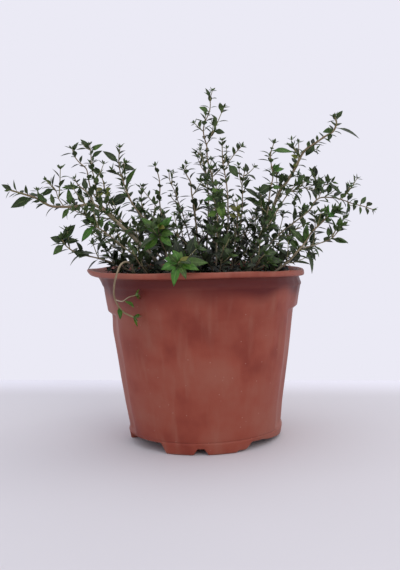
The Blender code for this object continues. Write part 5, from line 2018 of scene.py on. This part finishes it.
@dataclass
class ThymePlant:
    """The thyme plant: every stem of the table, and the small growth about their feet."""

    pot: Pot
    mix: PottingMix
    front: Vector = field(default_factory=lambda: Vector((0, -0.86, 0.5)))
    habit: Habit = Habit()

    def __post_init__(self) -> None:
        """Build the trees and finishes that every stem shares."""
        self.blades = leaf_blades(6, 4)
        self.small_blades = leaf_blades(4, 2)
        self.tubes = bark_tubes()
        self.green = ThymeLeaf().make()
        self.bark = ThymeBark().make()

    def pair(
        self, leaves: Foliage, route: Route, at: float, turn: int, length: float, half: float,
        tone: Tone, dice: random.Random,
    ) -> list[Vector]:
        """Grow two opposite leaves; each pair stands square to the one before.

        Args:
            leaves: Where the leaves are gathered.
            route: The stem's curve.
            at: The length along it.
            turn: The pair's number.
            length: The leaves' length.
            half: The stem's radius.
            tone: The leaves' colour.
            dice: The stem's random numbers.

        Returns:
            The two directions away from the stem.
        """
        place, ahead, side = route.at(at)
        across = ahead.cross(side)
        ways = [side, -side] if turn % 2 else [across, -across]
        for way in ways:
            size = length * dice.uniform(*self.habit.length)
            up = ahead * dice.uniform(0.2, 0.8) + Vector((0, 0, 0.8)) + self.front * dice.uniform(0, 0.6)
            for spread in (dice.uniform(*self.habit.spread), *self.habit.flat):
                reach = (way * math.sin(spread) + ahead * math.cos(spread)) * size
                reach.z -= size * self.habit.droop * dice.random()
                if not leaves.blocked(place, reach):
                    leaves.add(
                        place + way * half * 0.6, reach, up, size * dice.uniform(*self.habit.width),
                        dice.uniform(*self.habit.curl), tone.value + dice.gauss(0, 0.10),
                        dice.uniform(0.5, 1.3),
                    )
                    break
        return ways

    def axils(
        self, leaves: Foliage, route: Route, at: float, count: float, length: float,
        tone: Tone, dice: random.Random,
    ) -> None:
        """Grow the small young leaves that crowd the axils of a pair.

        Args:
            leaves: Where the leaves are gathered.
            route: The stem's curve.
            at: The length along it.
            count: How many, on average.
            length: Their greatest length.
            tone: The colour of the leaves round them.
            dice: The stem's random numbers.
        """
        place, ahead, side = route.at(at)
        for _ in range(int(count * 2 * dice.random() + 0.5)):
            angle = dice.uniform(0, 2 * math.pi)
            way = side * math.cos(angle) + ahead.cross(side) * math.sin(angle)
            lean = dice.uniform(*self.habit.small_spread)
            reach = (way * math.sin(lean) + ahead * math.cos(lean)) * length
            reach = reach * dice.uniform(*self.habit.small_length)
            if leaves.blocked(place, reach):
                continue
            leaves.add(
                place + way * 0.4, reach, ahead + self.front * 0.3,
                reach.length * dice.uniform(*self.habit.small_width),
                dice.uniform(-0.3, 0.6), tone.value + 0.08 + dice.gauss(0, 0.1), dice.uniform(0.8, 1.25),
            )

    def tip(
        self, leaves: Foliage, route: Route, length: float, tone: Tone, dice: random.Random
    ) -> None:
        """Grow the bud of small upright leaves that ends a shoot.

        Args:
            leaves: Where the leaves are gathered.
            route: The shoot's curve.
            length: The leaves' length.
            tone: Their colour.
            dice: The stem's random numbers.
        """
        place, ahead, side = route.at(route.total)
        for i in range(self.habit.tip_leaves):
            angle = i * self.habit.tip_turn + dice.uniform(-0.3, 0.3)
            way = side * math.cos(angle) + ahead.cross(side) * math.sin(angle)
            lean = 0.2 + 0.17 * (self.habit.tip_leaves - i) * dice.uniform(0.6, 1.2)
            reach = (way * math.sin(lean) + ahead * math.cos(lean)) * length * (1.1 - 0.11 * i)
            leaves.add(
                place, reach, ahead * 0.6 - way + self.front * 0.3, reach.length * self.habit.tip_width,
                dice.uniform(-0.2, 0.5), tone.value + 0.10 + dice.gauss(0, 0.06), dice.uniform(0.9, 1.25),
            )

    def twig(
        self, wood: Wood, leaves: Foliage, foot: tuple[Vector, Vector, Vector], length: float,
        leaf: float, tone: Tone, number: int,
    ) -> None:
        """Grow a leafy twig that leaves an axil sideways and then bends upwards.

        Args:
            wood: Where bare stems are gathered.
            leaves: Where leaves are gathered.
            foot: Where it grows, the way out from the stem, and the way that the stem grows.
            length: Its length.
            leaf: Its leaves' length.
            tone: Their colour.
            number: The twig's number.
        """
        dice = random.Random(number)
        place, way, ahead = foot
        lean = dice.uniform(0.55, 1.15)
        start = (way * math.sin(lean) + ahead * math.cos(lean)) * length
        rise = Vector((dice.gauss(0, 0.12), dice.gauss(0, 0.12), dice.uniform(0.05, 0.55))) * length
        points = [place + start * t + rise * t * t for t in (0.0, 0.35, 0.7, 1.0)]
        if leaves.blocked(place, (points[-1] - place) * 1.15):
            return
        sprig = Sprig(
            route=tuple(tuple(p) for p in points), radius=(0.62, 0.4), bare=0.36, leaf=(leaf, leaf * 0.8),
            tone=tone, pace=6.8, tuft=0.1, wood=0.35, twigs=0.0,
        )
        self.grow(wood, leaves, sprig, number)

    def broad(self, leaves: Foliage, route: Route, blade: Blade, half: float, dice: random.Random) -> None:
        """Grow one of the stem's large leaves, turned so that it looks as wide as it should.

        Args:
            leaves: Where the leaves are gathered.
            route: The stem's curve.
            blade: The leaf.
            half: The stem's radius.
            dice: The stem's random numbers.
        """
        place, _, _ = route.at(blade.share * route.total)
        reach = Vector(blade.tip) - place
        root = place + reach.normalized() * half * 0.5
        reach = Vector(blade.tip) - root
        width = max(blade.width * 0.86, reach.length * 0.34)
        facing = min(blade.width * 0.86 / width, 0.93)
        edge = reach.normalized().cross(Vector((0, 1, 0)))
        edge = edge if edge.z >= 0 else -edge
        up = Vector((0, -1, 0)) * facing + edge * math.sqrt(1 - facing**2)
        leaves.add(
            root, reach, up, width, dice.uniform(0.25, 0.8), blade.tone.value + dice.gauss(0, 0.05),
            dice.uniform(0.85, 1.15),
        )

    def grow(
        self, wood: Wood, leaves: Foliage, sprig: Sprig, number: int, foot: Vector | None = None
    ) -> None:
        """Grow a stem with its leaves and then its shoots.

        Args:
            wood: Where bare stems are gathered.
            leaves: Where leaves are gathered.
            sprig: The stem.
            number: The stem's number, which seeds its random numbers.
            foot: Where it starts, if not at its route's first point.
        """
        dice = random.Random(number)
        points = [Vector(p) for p in sprig.route]
        points[0] = foot or points[0]
        route = Route(points, math.radians(37 * number))
        joints = []
        bare = sprig.bare * (0.6 if sprig.twigs and sprig.bare < 0.8 else 1.0)
        at = max(bare * route.total, 1.0)
        turn = 0
        small = 1.1 if sprig.blades else 1.15
        slim = 0.85 if sprig.radius[0] > 1.7 else 0.62
        while at < route.total - 1.5:
            share = (at / route.total - bare) / (1 - bare)
            length = sprig.leaf[0] + (sprig.leaf[1] - sprig.leaf[0]) * share
            half = slim * (sprig.radius[0] + (sprig.radius[1] - sprig.radius[0]) * at / route.total)
            ways = self.pair(leaves, route, at, turn, length * small, half, sprig.tone, dice)
            self.axils(leaves, route, at, sprig.tuft, length * 0.55, sprig.tone, dice)
            place, ahead, _ = route.at(at)
            for i, way in enumerate(ways):
                if dice.random() < sprig.twigs * (1 - 0.7 * share):
                    far = sprig.twig * (1 - 0.6 * share) * dice.uniform(0.4, 1.0)
                    self.twig(
                        wood, leaves, (place, way, ahead), far, length * 1.05, sprig.tone,
                        number * 131 + turn * 2 + i,
                    )
            joints.append(at)
            turn += 1
            at += sprig.pace * dice.uniform(0.75, 1.2) * (1 - 0.35 * share)
        self.tip(leaves, route, sprig.leaf[1] * 0.9, sprig.tone, dice)
        for blade in sprig.blades:
            half = slim * (sprig.radius[0] + (sprig.radius[1] - sprig.radius[0]) * blade.share)
            self.broad(leaves, route, blade, half, dice)
            joints.append(blade.share * route.total)
        wood.add(route, (sprig.radius[0] * slim, sprig.radius[1] * slim), joints, sprig.wood)
        for i, shoot in enumerate(sprig.shoots):
            self.grow(wood, leaves, shoot, number * 7 + i + 50)

    def build_stem(self, name: str, sprig: Sprig, number: int) -> None:
        """Build one stem as a piece of bark and a piece of leaves.

        Args:
            name: The stem's CAD node.
            sprig: The stem.
            number: Its number.
        """
        wood = Wood()
        leaves = Foliage(self.pot)
        x, y, _ = sprig.route[0]
        self.grow(wood, leaves, sprig, number, Vector((x, y, self.mix.top(x, y) - 1.5)))
        bark = wood.piece(name + "_bark", self.tubes, self.bark)
        blades = leaves.piece(name + "_leaves", self.blades, self.green)
        hand_over(bark, Slot.WOOD, name)
        hand_over(blades, Slot.LEAF)

    def build_undergrowth(self) -> None:
        """Build the short shaded shoots that crowd about the stems' feet."""
        low = Undergrowth()
        dice = random.Random(low.seed)
        wood = Wood(painted_shade=low.bark_painted_shade)
        leaves = Foliage(self.pot, painted_shade=low.leaf_painted_shade)
        for number in range(low.count):
            angle = dice.uniform(0, 2 * math.pi)
            out = low.spread * math.sqrt(dice.random())
            x, y = out * math.cos(angle), out * math.sin(angle)
            tall = dice.uniform(*low.tall) + low.crown * (1 - out / low.spread)
            start = Vector((x, y, self.mix.top(x, y) - 1))
            lean_x = x / low.spread * low.lean + dice.gauss(0, low.stray)
            lean_y = y / low.spread * low.lean + dice.gauss(0, low.stray)
            lean = Vector((lean_x, lean_y, 0)) * tall
            bow = Vector((dice.gauss(0, low.bow), dice.gauss(0, low.bow), 0)) * tall
            rise = Vector((0, 0, tall))
            if math.hypot(*(start + lean).xy) > low.rim and start.z + tall < low.over_rim:
                lean = lean * 0.1
            points = (start, start + lean * 0.2 + bow + rise * 0.35, start + lean * 0.6 + bow + rise * 0.72,
                      start + lean + rise)
            sprig = Sprig(
                route=tuple(tuple(p) for p in points), radius=(0.6, 0.4), bare=0.25, leaf=(8.5, 7.5),
                tone=Tone.DEEP, pace=6.8, tuft=0.1, wood=0.6, twigs=0.15, twig=13.0,
            )
            self.grow(wood, leaves, sprig, 900 + number)
        bark = wood.piece("undergrowth_bark", self.tubes, self.bark)
        blades = leaves.piece("undergrowth_leaves", self.small_blades, self.green)
        hand_over(bark, Slot.WOOD)
        hand_over(blades, Slot.LEAF)

    def build(self) -> None:
        """Build every stem and the undergrowth."""
        for number, (name, sprig) in enumerate(STEMS.items()):
            self.build_stem(name, sprig, number)
        self.build_undergrowth()


# ---------------------------------------------------------------- studio


@dataclass
class Studio:
    """The pale board that the pot stands on, the soft lights and the camera."""

    camera_place: Point = (-0.5, -560.0, 150.5)
    camera_down: float = math.radians(4.62)
    camera_roll: float = math.radians(2.0)
    lens: float = 51.2
    back_edge: float = 192.0
    edge_slant: float = -0.18
    reach: float = 1500.0

    def floor(self) -> None:
        """Lay the pale board."""
        board = PaintedBoard(
            "matt_emulsion_board", "#d9d8db", "#d3d2d5", "#eeeef5", self.back_edge, self.edge_slant
        ).make()
        bm = bmesh.new()
        slant = self.reach * self.edge_slant
        corners = ((-self.reach, -self.reach), (self.reach, -self.reach),
                   (self.reach, self.back_edge + slant), (-self.reach, self.back_edge - slant))
        top = [bm.verts.new((x * MM, y * MM, -0.1 * MM)) for x, y in corners]
        low = [bm.verts.new((x * MM, y * MM, -18 * MM)) for x, y in corners]
        bm.faces.new(top)
        bm.faces.new(list(reversed(low)))
        bridge(bm, [low, top])
        mesh = to_mesh(bm, "studio_board")
        mesh.materials.append(board)
        new_object("studio_board", mesh)

    def light(self, name: str, place: Point, size: float, power: float, colour: str) -> None:
        """Hang one soft square light that looks at the plant.

        Args:
            name: The light's name.
            place: Where it hangs, in millimetres.
            size: Its side.
            power: Its power in watts.
            colour: Its colour.
        """
        lamp = bpy.data.lights.new(name, "AREA")
        lamp.size = size * MM
        lamp.energy = power
        lamp.color = to_linear(colour)[:3]
        made = bpy.data.objects.new(name, lamp)
        made.location = Vector(place) * MM
        made.rotation_euler = (Vector((0, 0, 110)) - Vector(place)).to_track_quat("-Z", "Y").to_euler()
        bpy.context.scene.collection.objects.link(made)

    def build(self) -> None:
        """Set up the floor, the lights, the pale surroundings and the camera."""
        scene = bpy.context.scene
        self.floor()
        self.light("overhead_softbox", (250, 150, 1100), 900, 1.9, "#fffaf2")
        self.light("front_softbox", (500, -1000, 700), 700, 3.0, "#fffaf4")
        world = bpy.data.worlds.new("pale_room")
        world.use_nodes = True
        sky = world.node_tree.nodes["Background"]
        sky.inputs["Color"].default_value = to_linear("#ebeaf5")
        sky.inputs["Strength"].default_value = 1.0
        scene.world = world
        scene.view_settings.view_transform = "Standard"
        camera = bpy.data.cameras.new("camera")
        camera.lens = self.lens
        camera.sensor_width = 36
        camera.clip_start = 0.01
        view = bpy.data.objects.new("camera", camera)
        tilt = Matrix.Rotation(math.pi / 2 - self.camera_down, 4, "X")
        roll = Matrix.Rotation(-self.camera_roll, 4, "Z")
        view.matrix_world = Matrix.Translation(Vector(self.camera_place) * MM) @ tilt @ roll
        scene.collection.objects.link(view)
        scene.camera = view


def main() -> None:
    """Build every sub-assembly in order."""
    logging.basicConfig(level=logging.INFO, format="%(name)s: %(message)s")
    pot = Pot()
    mix = PottingMix(pot)
    pot.build()
    mix.build()
    ThymePlant(pot, mix).build()
    Studio().build()


if __name__ == "__main__":
    main()
